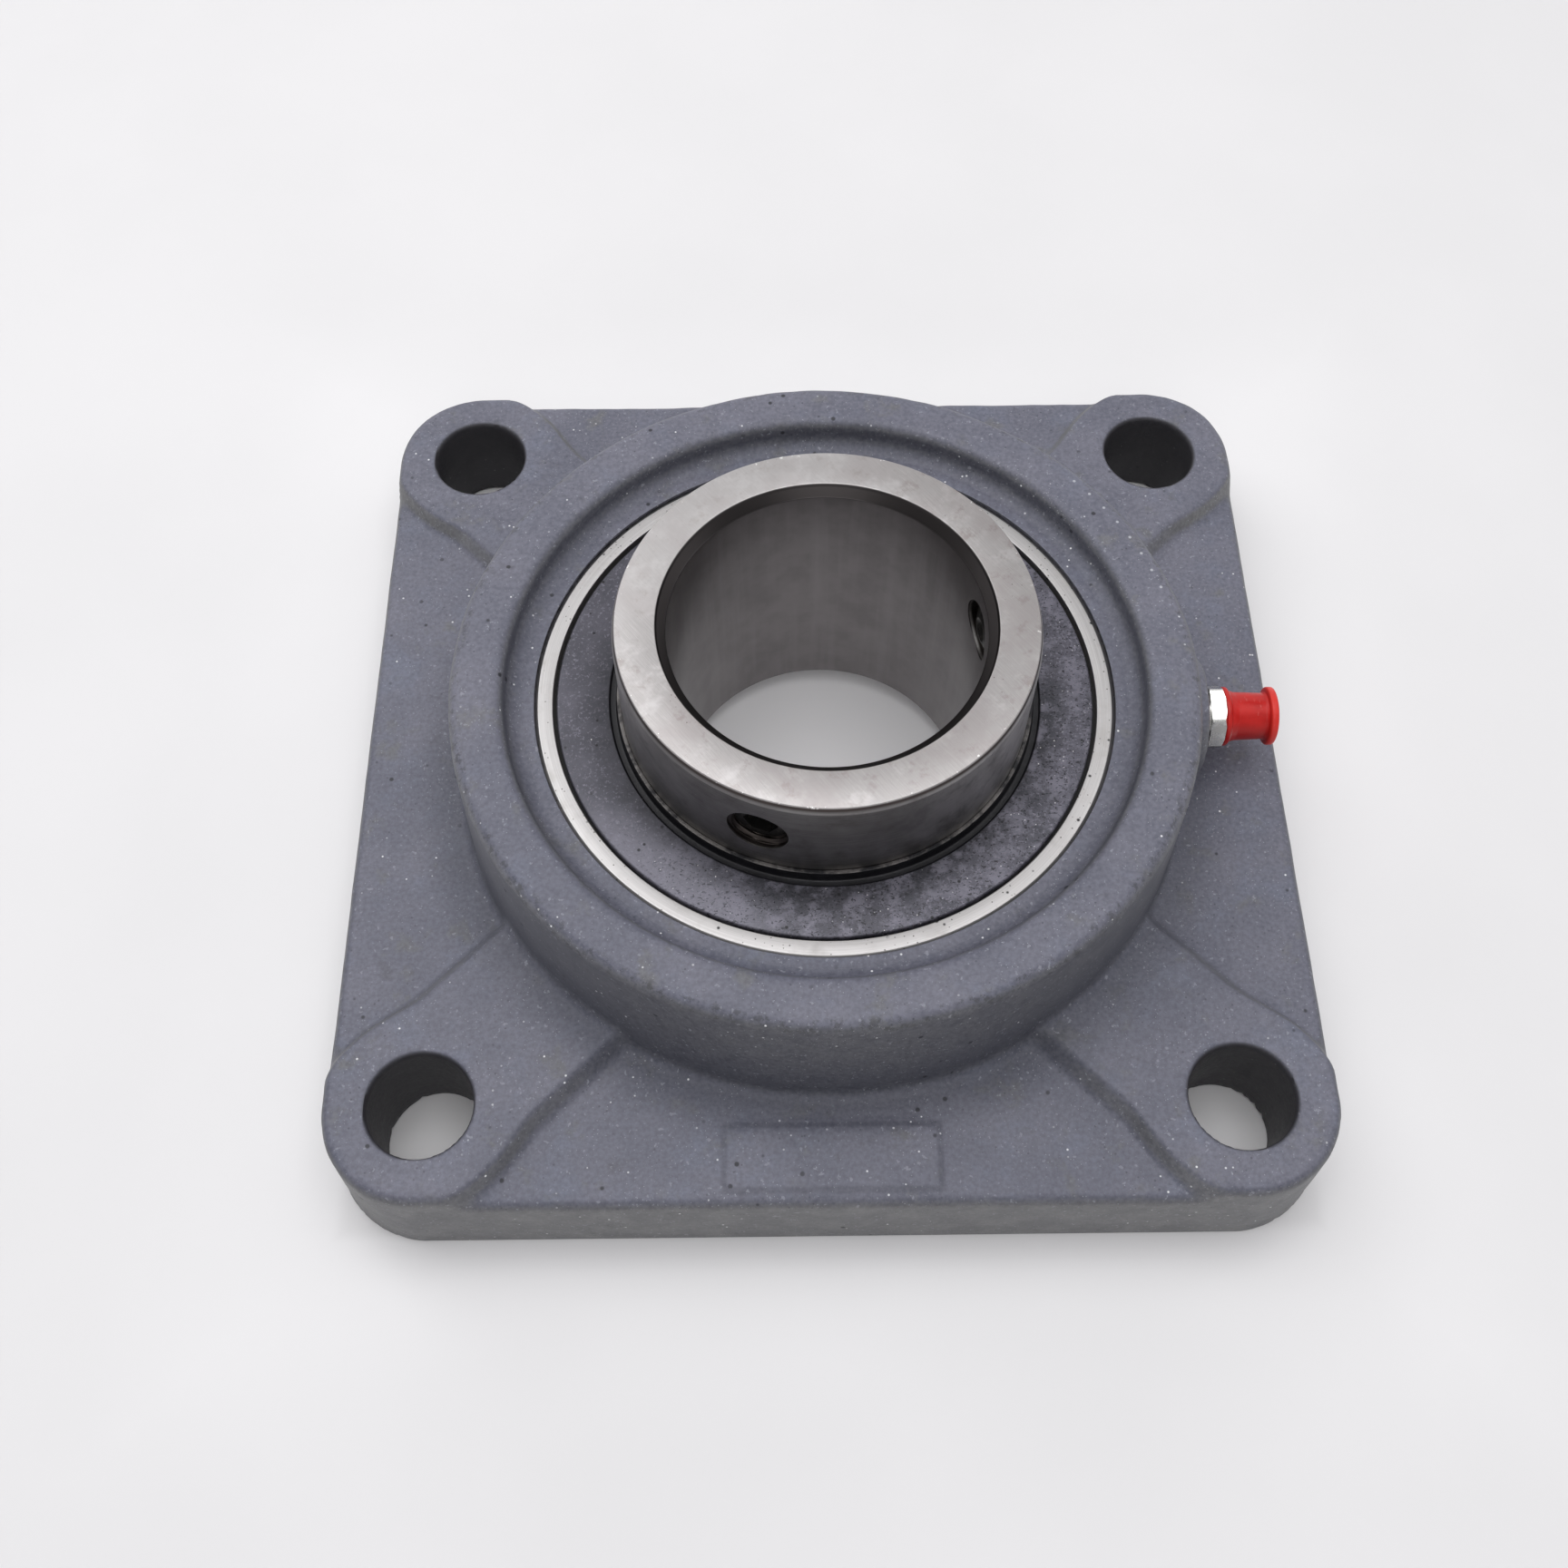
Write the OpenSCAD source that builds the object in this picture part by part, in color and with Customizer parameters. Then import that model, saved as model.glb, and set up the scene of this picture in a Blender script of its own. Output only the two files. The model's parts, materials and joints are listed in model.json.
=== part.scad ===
// Square four-bolt flange unit with a self-aligning, set-screw locked ball bearing insert.
// Frame: origin at the centre of the mounting face, +Z out of the front of the bearing,
// +X towards the grease nipple. All sizes are in millimetres.

/* [Housing] */
// Side of the square flange
flange_side = 163; // [160:1:170]
// Distance between bolt holes, along X and along Y
bolt_spacing = 130; // [128:1:132]
// Diameter of each bolt hole
bolt_hole_d = 17; // [13:0.5:18]
// Height of the four bolt pads and the ribs
pad_height = 20; // [19:1:24]
// Height of the plate between the ribs
plate_height = 17; // [14:0.5:18]
// Width of a diagonal rib
rib_width = 29; // [24:1:30]
// Height of the round hub
hub_height = 43; // [42:0.5:46]
// Outer diameter of the hub at its top
hub_d = 124; // [122:1:126]
// Diameter of the round recess in the hub's front and back
recess_d = 106; // [104:1:108]

/* [Insert] */
// Diameter of the spherical outer surface
sphere_d = 100; // [100:1:100]
// Height of the sphere's centre above the mounting face
sphere_z = 25; // [25:0.5:27]
// Width of the outer ring
outer_width = 25; // [24:0.5:25]
// Bore of the inner ring
bore_d = 50.8; // [50:0.1:51]
// Outer diameter of the inner ring
inner_od = 67.7; // [67:0.1:68]
// Length of the inner ring
inner_width = 55.6; // [55:0.1:56]
// Length of the inner ring behind the sphere's centre
inner_rear = 22.2; // [21:0.1:23]

/* [Balls] */
// Number of balls
ball_count = 10; // [8:1:10]
// Ball diameter
ball_d = 14.288; // [13.5:0.001:14.3]
// Diameter of the circle through the ball centres
pitch_d = 77.5; // [77:0.1:78]

/* [Set screws] */
// Thread diameter of a set screw
screw_d = 10; // [8:1:10]
// Length of a set screw
screw_length = 6.5; // [6:0.5:7]
// Distance of the screws behind the inner ring's front face
screw_setback = 10; // [9:0.5:11]
// Direction of the two screws, in degrees from +X
screw_angles = [-109.5, 10.5];

/* [Grease nipple] */
// Height of the nipple's axis
nipple_z = 28; // [27:0.5:30]
// Size across the flats of the nipple's hexagon
hex_af = 10; // [9:0.5:11]
// Length of the dust cap
cap_length = 8.9; // [8.5:0.1:9.5]

/* [Hidden] */

$fn = 96;
cut = 1; // how far a cutting shape runs past the face that it opens

cast_paint = [0.44, 0.46, 0.52];
ground_steel = [0.72, 0.71, 0.70];
dark_steel = [0.30, 0.30, 0.33];
ball_steel = [0.80, 0.80, 0.82];
cage_steel = [0.62, 0.60, 0.55];
seal_rubber = [0.10, 0.10, 0.11];
zinc = [0.84, 0.84, 0.82];
cap_red = [0.78, 0.10, 0.09];

// housing
half = flange_side / 2;
hole_at = bolt_spacing / 2;
corner_r = half - hole_at;
edge = 2;               // chamfer along the top of the plate
hub_r = hub_d / 2;
hub_foot_r = hub_r + 1; // the hub's side leans outwards by this much
hub_rim = 2.2;          // radius round the hub's top edge
hub_fillet = 2.5;       // radius where the hub meets the plate
recess_r = recess_d / 2;
recess_edge = 1;        // radius round the inside of the hub's top edge
recess_floor = 13;      // distance from the sphere's centre to each recess floor
sphere_r = sphere_d / 2;
seat_gap = 0.02;        // radial clearance on each side of the spherical seat
slot_width = 26;        // loading slots at the back, which let the insert in sideways
slot_r = 50.1;
groove_z = 30;          // grease groove in the seat
groove_width = 6;
groove_depth = 1.5;
tablet = [34, 10.5, 0.5]; // blank raised tablet on the front of the plate
tablet_y = -73.2;

// raceways
ball_r = ball_d / 2;
pitch_r = pitch_d / 2;
race_r = 7.35;
race_gap = 0.02;
inner_race_c = pitch_r - ball_r - race_gap + race_r;
outer_race_c = pitch_r + ball_r + race_gap - race_r;

// rings
outer_half = outer_width / 2;
outer_shoulder_r = 43.2;
outer_bore_r = 45.3;
seal_floor = 8.8;       // distance from the sphere's centre to the seal's shelf
bead_r = 45.9;          // groove that the seal's bead snaps into
bead_z = [9.2, 10.5];
oil_hole_z = 7.2;
oil_hole_r = 1;
inner_r = inner_od / 2;
bore_r = bore_d / 2;
bore_chamfer = 1.6;
rim_chamfer = 0.9;
ring_bottom = sphere_z - inner_rear;
ring_top = ring_bottom + inner_width;

// cage
cage_inner_r = 35.6;
cage_outer_r = 41.6;
cage_sheet = 0.8;
pocket_r = ball_r + 0.16;
rivet_r = 0.9;
rivet_head_r = 1.7;
rivet_head = 0.6;

// seals and flingers
seal_lip_gap = 0.06;
insert_z = [9.3, 9.9];
flinger_r = 44.9;
flinger_top = 12.2;
flinger_sheet = 0.7;
collar_top = 13.8;
collar_wall = 0.7;

// set screws
screw_z = ring_top - screw_setback;
screw_hole_r = 4.62;    // mid-height of the thread
screw_r = screw_hole_r - 0.04;
screw_tip = bore_r + 0.2;
socket_af = 5;
socket_depth = 3.2;

// grease nipple, along +X
boss_x = 64.4;
boss_r = 10.3;
stem_x = 58;
stem_r = 4.86;
stem_hole_r = 4.84;
passage_r = 2;
hex_x = 65.6;
hex_thick = 2.6;
hex_turn = -8;          // how far the hexagon's top flat is turned from level
head_tip_x = 75.3;
head_r = 3.25;
chamber_r = 1.5;
mouth_r = 0.9;
mouth_length = 1;
chamber_x = 68.2;
check_ball_r = 1.25;
check_ball_x = head_tip_x - mouth_length - sqrt(check_ball_r ^ 2 - mouth_r ^ 2) - 0.02;
spring_r = 1;
spring_wire_r = 0.2;
spring_turns = 5;
spring_x = [chamber_x + 0.22, check_ball_x - sqrt(check_ball_r ^ 2 - spring_r ^ 2) - 0.26];
cap_x = hex_x + hex_thick + 0.05;
cap_bore_r = head_r + 0.1;
cap_flange_r = 5.05;
cap_neck_r = [4.15, 3.95];

// Points on an arc about [cx, cz], from angle a0 to a1.
function arc(cx, cz, r, a0, a1, n = 6) =
    [for (i = [0:n]) let (a = a0 + (a1 - a0) * i / n) [cx + r * cos(a), cz + r * sin(a)]];

// A tube of round section swept along a helix about X.
function helix_point(t, x, r, turns) = [x[0] + (x[1] - x[0]) * t, r * cos(360 * turns * t),
                                        r * sin(360 * turns * t)];

// A flat bar along X with both ends' top edges chamfered.
module bar(length, width, height)
    rotate([90, 0, 0])
        linear_extrude(width, center = true)
            polygon([[-length / 2, 0], [length / 2, 0], [length / 2, height - edge],
                     [length / 2 - edge, height], [edge - length / 2, height],
                     [-length / 2, height - edge]]);

module flange_blank() {
    bar(flange_side, bolt_spacing, plate_height);
    rotate(90) bar(flange_side, bolt_spacing, plate_height);
    linear_extrude(pad_height) {
        for (x = [-hole_at, hole_at], y = [-hole_at, hole_at])
            translate([x, y]) circle(r = corner_r);
        for (a = [45, 135])
            rotate(a) square([2 * hole_at * sqrt(2), rib_width], center = true);
    }
}

module hub_blank()
    rotate_extrude()
        polygon(concat(
            [[0, 0], [hub_foot_r + hub_fillet, 0]],
            arc(hub_foot_r + hub_fillet, plate_height + hub_fillet, hub_fillet, 270, 180),
            arc(hub_r - hub_rim, hub_height - hub_rim, hub_rim, 0, 90),
            [[0, hub_height]]));

// A flat round pad on the hub's side, which the nipple screws into.
module nipple_boss()
    translate([sphere_r, 0, nipple_z]) rotate([0, 90, 0]) {
        cylinder(h = boss_x - edge / 2 - sphere_r, r = boss_r);
        translate([0, 0, boss_x - edge / 2 - sphere_r])
            cylinder(h = edge / 2, r1 = boss_r, r2 = boss_r - edge / 2);
    }

// The hub's inside: a recess at each end and the spherical seat between them.
module hub_cavity() {
    translate([0, 0, sphere_z]) intersection() {
        sphere(r = sphere_r + seat_gap, $fn = 180);
        cylinder(h = 2 * recess_floor + 0.02, r = sphere_r + cut, center = true);
    }
    translate([0, 0, sphere_z + recess_floor])
        cylinder(h = hub_height, r = recess_r);
    translate([0, 0, -cut])
        cylinder(h = sphere_z - recess_floor + cut, r = recess_r);
    translate([0, 0, hub_height - recess_edge])
        cylinder(h = recess_edge + 0.01, r1 = recess_r, r2 = recess_r + recess_edge);
    intersection() {
        translate([0, 0, -cut]) cylinder(h = sphere_z + cut, r = slot_r);
        cube([slot_width, 2 * sphere_d, 2 * sphere_z], center = true);
    }
    translate([0, 0, groove_z - groove_width / 2])
        cylinder(h = groove_width, r = sphere_r + groove_depth);
}

module housing() {
    color(cast_paint)
        difference() {
            union() {
                flange_blank();
                hub_blank();
                nipple_boss();
                translate([0, tablet_y, plate_height + tablet.z / 2 - 0.5])
                    cube([tablet.x, tablet.y, tablet.z + 1], center = true);
            }
            hub_cavity();
            for (x = [-hole_at, hole_at], y = [-hole_at, hole_at])
                translate([x, y, -cut])
                    cylinder(h = pad_height + 2 * cut, d = bolt_hole_d);
            translate([stem_x - cut, 0, nipple_z]) rotate([0, 90, 0])
                cylinder(h = boss_x, r = stem_hole_r);
            translate([sphere_r, 0, nipple_z]) rotate([0, 90, 0])
                cylinder(h = stem_x - sphere_r, r = passage_r);
        }
}

module outer_ring() {
    color(ground_steel)
        translate([0, 0, sphere_z])
            difference() {
                intersection() {
                    sphere(r = sphere_r - seat_gap, $fn = 180);
                    rotate_extrude() polygon([
                        [outer_shoulder_r, -outer_half], [sphere_r - 2.2, -outer_half],
                        [sphere_r - 1, -outer_half + 0.6], [sphere_r + cut, -outer_half + 0.6],
                        [sphere_r + cut, outer_half - 0.6], [sphere_r - 1, outer_half - 0.6],
                        [sphere_r - 2.2, outer_half], [outer_shoulder_r, outer_half]]);
                }
                rotate_extrude() translate([outer_race_c, 0]) circle(r = race_r);
                for (s = [0, 1]) mirror([0, 0, s]) {
                    translate([0, 0, seal_floor]) cylinder(h = outer_half, r = outer_bore_r);
                    translate([0, 0, bead_z[0]])
                        cylinder(h = bead_z[1] - bead_z[0], r = bead_r);
                }
                for (a = [0, 120, 240])
                    rotate(a) translate([outer_shoulder_r - cut, 0, oil_hole_z])
                        rotate([0, 90, 0]) cylinder(h = sphere_r, r = oil_hole_r);
            }
}

module inner_ring() {
    color(ground_steel)
        difference() {
            rotate_extrude() polygon([
                [bore_r, ring_bottom + bore_chamfer], [bore_r + bore_chamfer, ring_bottom],
                [inner_r - rim_chamfer, ring_bottom], [inner_r, ring_bottom + rim_chamfer],
                [inner_r, ring_top - rim_chamfer], [inner_r - rim_chamfer, ring_top],
                [bore_r + bore_chamfer, ring_top], [bore_r, ring_top - bore_chamfer]]);
            translate([0, 0, sphere_z])
                rotate_extrude() translate([inner_race_c, 0]) circle(r = race_r);
            for (a = screw_angles)
                rotate(a) translate([bore_r - cut - 2, 0, screw_z]) rotate([0, 90, 0])
                    cylinder(h = inner_r, r = screw_hole_r);
        }
}

module ball(i)
    color(ball_steel)
        rotate(360 / ball_count * (i - 1)) translate([pitch_r, 0, sphere_z]) sphere(r = ball_r);

// One pressed half of the cage: flat webs between cupped pockets. It lies on the +Z side.
module cage_half()
    difference() {
        intersection() {
            union() {
                cylinder(h = cage_sheet, r = cage_outer_r);
                for (i = [0:ball_count - 1])
                    rotate(360 / ball_count * i) translate([pitch_r, 0, 0])
                        sphere(r = pocket_r + cage_sheet);
            }
            difference() {
                cylinder(h = 2 * ball_r, r = cage_outer_r);
                translate([0, 0, -cut]) cylinder(h = 2 * ball_r + 2 * cut, r = cage_inner_r);
            }
        }
        for (i = [0:ball_count - 1]) {
            rotate(360 / ball_count * i) translate([pitch_r, 0, 0]) sphere(r = pocket_r);
            rotate(360 / ball_count * (i + 0.5)) translate([pitch_r, 0, -cut])
                cylinder(h = cage_sheet + 2 * cut, r = rivet_r);
        }
    }

module cage_front() color(cage_steel) translate([0, 0, sphere_z]) cage_half();

module cage_rear() color(cage_steel) translate([0, 0, sphere_z]) mirror([0, 0, 1]) cage_half();

module cage_rivets() {
    color(cage_steel)
        for (i = [0:ball_count - 1])
            rotate(360 / ball_count * (i + 0.5)) translate([pitch_r, 0, sphere_z]) {
                cylinder(h = 2 * cage_sheet + 0.02, r = rivet_r, center = true);
                for (s = [-1, 1])
                    translate([0, 0, s * (cage_sheet + rivet_head / 2)])
                        cylinder(h = rivet_head, r = rivet_head_r, center = true);
            }
}

// Moulded ring on the +Z side: a bead in the outer ring's groove and a lip on the inner ring.
module seal_rubber_ring()
    rotate_extrude() polygon([
        [inner_r + seal_lip_gap, bead_z[0] + 0.6], [inner_r + 1.2, insert_z[0] - 0.4],
        [inner_r + 2.6, insert_z[0] - 0.4], [inner_r + 2.6, insert_z[1]],
        [outer_bore_r - 0.8, insert_z[1]], [outer_bore_r - 0.8, seal_floor + 0.1],
        [outer_bore_r - 0.05, seal_floor + 0.1], [outer_bore_r - 0.05, bead_z[0] + 0.1],
        [bead_r - 0.05, bead_z[0] + 0.1], [bead_r - 0.05, bead_z[1] - 0.1],
        [inner_r + 1.4, bead_z[1] - 0.1],
        [inner_r + seal_lip_gap, bead_z[0] + 0.9]]);

// Flat steel washer that stiffens the seal.
module seal_insert_ring()
    rotate_extrude() polygon([
        [inner_r + 2.6, insert_z[0]], [outer_bore_r - 0.8, insert_z[0]],
        [outer_bore_r - 0.8, insert_z[1]], [inner_r + 2.6, insert_z[1]]]);

// Pressed sheet shield on the +Z side: a collar on the inner ring, a disc and a turned-in rim.
module flinger_ring()
    rotate_extrude() polygon([
        [inner_r, flinger_top - flinger_sheet], [flinger_r - flinger_sheet, flinger_top - flinger_sheet],
        [flinger_r - flinger_sheet, bead_z[1] + 0.2], [flinger_r, bead_z[1] + 0.2],
        [flinger_r, flinger_top - 0.3], [flinger_r - 0.3, flinger_top],
        [inner_r + collar_wall + 0.5, flinger_top], [inner_r + collar_wall, flinger_top + 0.5],
        [inner_r + collar_wall, collar_top], [inner_r, collar_top]]);

module on_front() translate([0, 0, sphere_z]) children();

module on_rear() translate([0, 0, sphere_z]) mirror([0, 0, 1]) children();

module seal_front_rubber() color(seal_rubber) on_front() seal_rubber_ring();

module seal_rear_rubber() color(seal_rubber) on_rear() seal_rubber_ring();

module seal_front_insert() color(dark_steel) on_front() seal_insert_ring();

module seal_rear_insert() color(dark_steel) on_rear() seal_insert_ring();

module flinger_front() color(dark_steel) on_front() flinger_ring();

module flinger_rear() color(dark_steel) on_rear() flinger_ring();

// A grub screw along +X with a hexagon socket in its outer end and a cup in its tip.
module set_screw(angle)
    color(dark_steel)
        rotate(angle) translate([screw_tip, 0, screw_z]) rotate([0, 90, 0])
            difference() {
                union() {
                    cylinder(h = 1, r1 = screw_r - 1, r2 = screw_r);
                    translate([0, 0, 1]) cylinder(h = screw_length - 1.4, r = screw_r);
                    translate([0, 0, screw_length - 0.4])
                        cylinder(h = 0.4, r1 = screw_r, r2 = screw_r - 0.4);
                }
                translate([0, 0, screw_length - socket_depth])
                    cylinder(h = socket_depth + cut, d = socket_af / cos(30), $fn = 6);
                translate([0, 0, -0.01]) cylinder(h = 1, r1 = 2, r2 = 0.4);
            }

module set_screw_1() set_screw(screw_angles[0]);

module set_screw_2() set_screw(screw_angles[1]);

module grease_nipple_body() {
    color(zinc)
        translate([0, 0, nipple_z]) rotate([0, 90, 0])
            difference() {
                union() {
                    translate([0, 0, stem_x]) cylinder(h = hex_x - stem_x, r = stem_r);
                    translate([0, 0, hex_x]) rotate(30 - hex_turn)
                        cylinder(h = hex_thick, d = hex_af / cos(30), $fn = 6);
                    rotate_extrude() polygon([
                        [0, hex_x + 1], [2.7, hex_x + 1], [2.7, head_tip_x - 4.5],
                        [head_r, head_tip_x - 3.1], [head_r, head_tip_x - 1.7],
                        [1.9, head_tip_x], [0, head_tip_x]]);
                }
                translate([0, 0, stem_x - cut]) cylinder(h = head_tip_x, r = mouth_r);
                translate([0, 0, chamber_x])
                    cylinder(h = head_tip_x - mouth_length - chamber_x, r = chamber_r);
            }
}

module nipple_check_ball()
    color(ball_steel) translate([check_ball_x, 0, nipple_z]) sphere(r = check_ball_r);

// The wire's section is a hexagon, and each turn has twelve steps.
module nipple_spring() {
    sides = 6;
    steps = 12 * spring_turns;
    points = [
        for (i = [0:steps], j = [0:sides - 1])
            let (t = i / steps, a = 360 * j / sides, b = 360 * spring_turns * t,
                 p = helix_point(t, spring_x, spring_r, spring_turns), d = spring_wire_r)
                [p.x + d * sin(a), p.y + d * cos(a) * cos(b), p.z + d * cos(a) * sin(b)]];
    walls = [
        for (i = [0:steps - 1], j = [0:sides - 1])
            let (k = (j + 1) % sides)
                [i * sides + j, i * sides + k, (i + 1) * sides + k, (i + 1) * sides + j]];
    ends = [[for (j = [sides - 1:-1:0]) j], [for (j = [0:sides - 1]) steps * sides + j]];
    color(zinc) translate([0, 0, nipple_z]) polyhedron(points, concat(walls, ends));
}

module nipple_cap() {
    color(cap_red)
        translate([cap_x, 0, nipple_z]) rotate([0, 90, 0])
            difference() {
                rotate_extrude() polygon([
                    [0, 0], [cap_flange_r - 0.2, 0], [cap_flange_r, 0.2], [cap_flange_r, 0.7],
                    [cap_neck_r[0] + 0.2, 1.1], [cap_neck_r[0], 1.5],
                    [cap_neck_r[1], cap_length - 1.6], [cap_flange_r - 0.2, cap_length - 1.3],
                    [cap_flange_r, cap_length - 1.1], [cap_flange_r, cap_length - 0.3],
                    [cap_flange_r - 0.3, cap_length], [0, cap_length]]);
                translate([0, 0, -cut])
                    cylinder(h = head_tip_x - cap_x + cut + 0.3, r = cap_bore_r);
            }
}

housing();
outer_ring();
inner_ring();
ball(1);  // ball_01
ball(2);  // ball_02
ball(3);  // ball_03
ball(4);  // ball_04
ball(5);  // ball_05
ball(6);  // ball_06
ball(7);  // ball_07
ball(8);  // ball_08
ball(9);  // ball_09
ball(10);  // ball_10
cage_front();
cage_rear();
cage_rivets();
seal_front_rubber();
seal_front_insert();
seal_rear_rubber();
seal_rear_insert();
flinger_front();
flinger_rear();
set_screw_1();
set_screw_2();
grease_nipple_body();
nipple_check_ball();
nipple_spring();
nipple_cap();
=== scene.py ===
"""Looks of a square flange bearing unit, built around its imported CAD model."""
import bmesh
import bpy
import json
import math
import numpy as np
import openvdb
from mathutils import Matrix, Vector


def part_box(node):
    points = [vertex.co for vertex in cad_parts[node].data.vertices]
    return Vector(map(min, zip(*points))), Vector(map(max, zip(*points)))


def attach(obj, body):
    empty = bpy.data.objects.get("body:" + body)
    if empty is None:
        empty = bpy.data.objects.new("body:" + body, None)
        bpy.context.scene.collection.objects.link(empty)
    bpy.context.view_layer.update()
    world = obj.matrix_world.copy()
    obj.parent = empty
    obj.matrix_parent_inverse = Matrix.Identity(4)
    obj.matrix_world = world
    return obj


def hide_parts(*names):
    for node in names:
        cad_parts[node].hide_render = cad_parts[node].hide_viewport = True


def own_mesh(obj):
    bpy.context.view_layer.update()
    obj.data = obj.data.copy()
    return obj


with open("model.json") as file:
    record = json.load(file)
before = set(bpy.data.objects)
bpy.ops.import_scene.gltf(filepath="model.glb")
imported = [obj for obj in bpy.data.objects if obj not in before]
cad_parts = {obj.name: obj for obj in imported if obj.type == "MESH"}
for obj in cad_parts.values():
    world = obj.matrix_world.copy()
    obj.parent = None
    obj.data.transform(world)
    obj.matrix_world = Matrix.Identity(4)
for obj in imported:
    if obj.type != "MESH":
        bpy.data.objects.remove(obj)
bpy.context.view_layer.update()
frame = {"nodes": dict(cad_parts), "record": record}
MM = 0.001


# -------------------- sizes, in millimetres

def cad_box(node):
    """A node's lowest and highest corners, in millimetres."""
    low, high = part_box(node)
    return low / MM, high / MM


HOUSING_LOW, HOUSING_HIGH = cad_box("housing")
HALF_SIDE = HOUSING_HIGH.x
HUB_TOP = HOUSING_HIGH.z
MOUNTS = {m["name"]: m for m in frame["record"]["mounts"]}
BOLTS = MOUNTS["flange_bolts"]["dims"]
BOLT_AT = BOLTS["spacing_x_mm"] / 2
BOLT_HOLE_R = BOLTS["hole_r_mm"]
CORNER_R = HALF_SIDE - BOLT_AT
PLATE_TOP = 17.0
PAD_TOP = 20.0
RIB_HALF = 14.6
RIB_SLOPE = 3.4         # width of the slope beside the ribs and pads
DRAFT = 0.04            # slope of the cast sides
TABLET_Y = -73.2
TABLET_HALF_X = 17.0
TABLET_HALF_Y = 5.2
TABLET_TALL = 0.5
TABLET_SLOPE = 0.9
HUB_R = 62.0
RECESS_R = 53.0
SPHERE_Z = 25.0
SEAT_R = 50.02
RECESS_FLOOR = 13.0     # from the sphere's centre to each recess floor
SLOT_R = 50.1           # the loading slots behind the seat
SLOT_HALF = 13.0
GREASE_GROOVE_R = 51.5
GREASE_GROOVE_Z = 30.0
GREASE_GROOVE_HALF = 3.0

RING_LOW, RING_HIGH = cad_box("inner_ring")
BORE_R = MOUNTS["shaft_bore"]["dims"]["r_mm"]
INNER_R = RING_HIGH.x
OUTER_R = 49.98
OUTER_BORE_R = 45.3
RACE_R = 7.35           # both raceways' grooves
INNER_RACE_AT = 38.936  # radius to the centre of each groove's arc
OUTER_RACE_AT = 38.564
FLINGER_R = cad_box("flinger_front")[1].x
FLINGER_COLLAR = 13.8   # from the sphere's centre to the collar's end
NIPPLE_TIP = cad_box("grease_nipple_body")[1].x
NIPPLE_Z = 28.0
NIPPLE_HOLE_R = 4.95
NIPPLE_HOLE_END = 57.0
CAP_LOW, CAP_HIGH = cad_box("nipple_cap")
BOSS_X = 64.4
BOSS_R = 10.3
HEX_X = 65.6
HEX_THICK = 2.6
HEX_AF = 10.0
SCREW_ANGLES = (-109.5, 10.5)
SCREW_Z = RING_HIGH.z - 10.0
SCREW_TIP = BORE_R + 0.2
SCREW_LENGTH = 6.5
THREAD_PITCH = 1.0
SMOOTH_ANGLE = math.radians(38)


# -------------------- mesh helpers

def make_mesh(name, points, faces, smooth_angle=SMOOTH_ANGLE):
    """A mesh object from points in millimetres, shaded smooth except across sharp edges."""
    mesh = bpy.data.meshes.new(name)
    mesh.from_pydata((np.asarray(points, float) * MM).tolist(), [], faces)
    mesh.validate()
    obj = bpy.data.objects.new(name, mesh)
    bpy.context.scene.collection.objects.link(obj)
    shade(obj, smooth_angle)
    return obj


def shade(obj, smooth_angle):
    """Smooth shading, except across edges sharper than smooth_angle."""
    obj.data.shade_smooth()
    obj.data.set_sharp_from_angle(angle=smooth_angle)


def soft_outline(corners, steps=5):
    """A closed outline from (r, z, radius) corners, each rounded by its radius."""
    points = []
    count = len(corners)
    for i, (x, y, radius) in enumerate(corners):
        here = Vector((x, y))
        before = Vector(corners[i - 1][:2]) - here
        after = Vector(corners[(i + 1) % count][:2]) - here
        if radius == 0:
            points.append(here)
            continue
        turn = before.angle(after)
        reach = radius / math.tan(turn / 2)
        start = here + before.normalized() * reach
        end = here + after.normalized() * reach
        middle = (before.normalized() + after.normalized()).normalized()
        centre = here + middle * (radius / math.sin(turn / 2))
        a, b = start - centre, end - centre
        sweep = a.angle_signed(b)
        for k in range(steps + 1):
            spin = Matrix.Rotation(-sweep * k / steps, 2)
            points.append(centre + spin @ a)
    return [(p.x, p.y) for p in points]


def lathe(name, outline, segments=240, axis="Z", centre=(0, 0, 0)):
    """A ring made by turning a closed (r, height) outline about an axis."""
    turns = np.arange(segments) * 2 * math.pi / segments
    r, h = np.array(outline).T
    x = np.outer(np.cos(turns), r)
    y = np.outer(np.sin(turns), r)
    z = np.tile(h, (segments, 1))
    points = np.stack([x, y, z] if axis == "Z" else [z, x, y], axis=-1).reshape(-1, 3)
    faces = band_faces(segments, segments, len(outline))
    obj = make_mesh(name, points + np.array(centre), faces)
    outward(obj)
    return obj


def band_faces(bands, rings, n):
    """Faces from each ring of n points to the next, or back to the first after the last."""
    faces = []
    for i in range(bands):
        j = (i + 1) % rings
        for k in range(n):
            m = (k + 1) % n
            faces.append((i * n + k, j * n + k, j * n + m, i * n + m))
    return faces


def outward(obj):
    """Turns a closed mesh's faces outwards."""
    bm = bmesh.new()
    bm.from_mesh(obj.data)
    bmesh.ops.recalc_face_normals(bm, faces=bm.faces)
    bm.to_mesh(obj.data)
    bm.free()


def weld_axis(obj):
    """Joins the points of a lathe outline that lie on its axis."""
    bm = bmesh.new()
    bm.from_mesh(obj.data)
    bmesh.ops.remove_doubles(bm, verts=bm.verts, dist=1e-7)
    bm.to_mesh(obj.data)
    bm.free()
    outward(obj)


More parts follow.
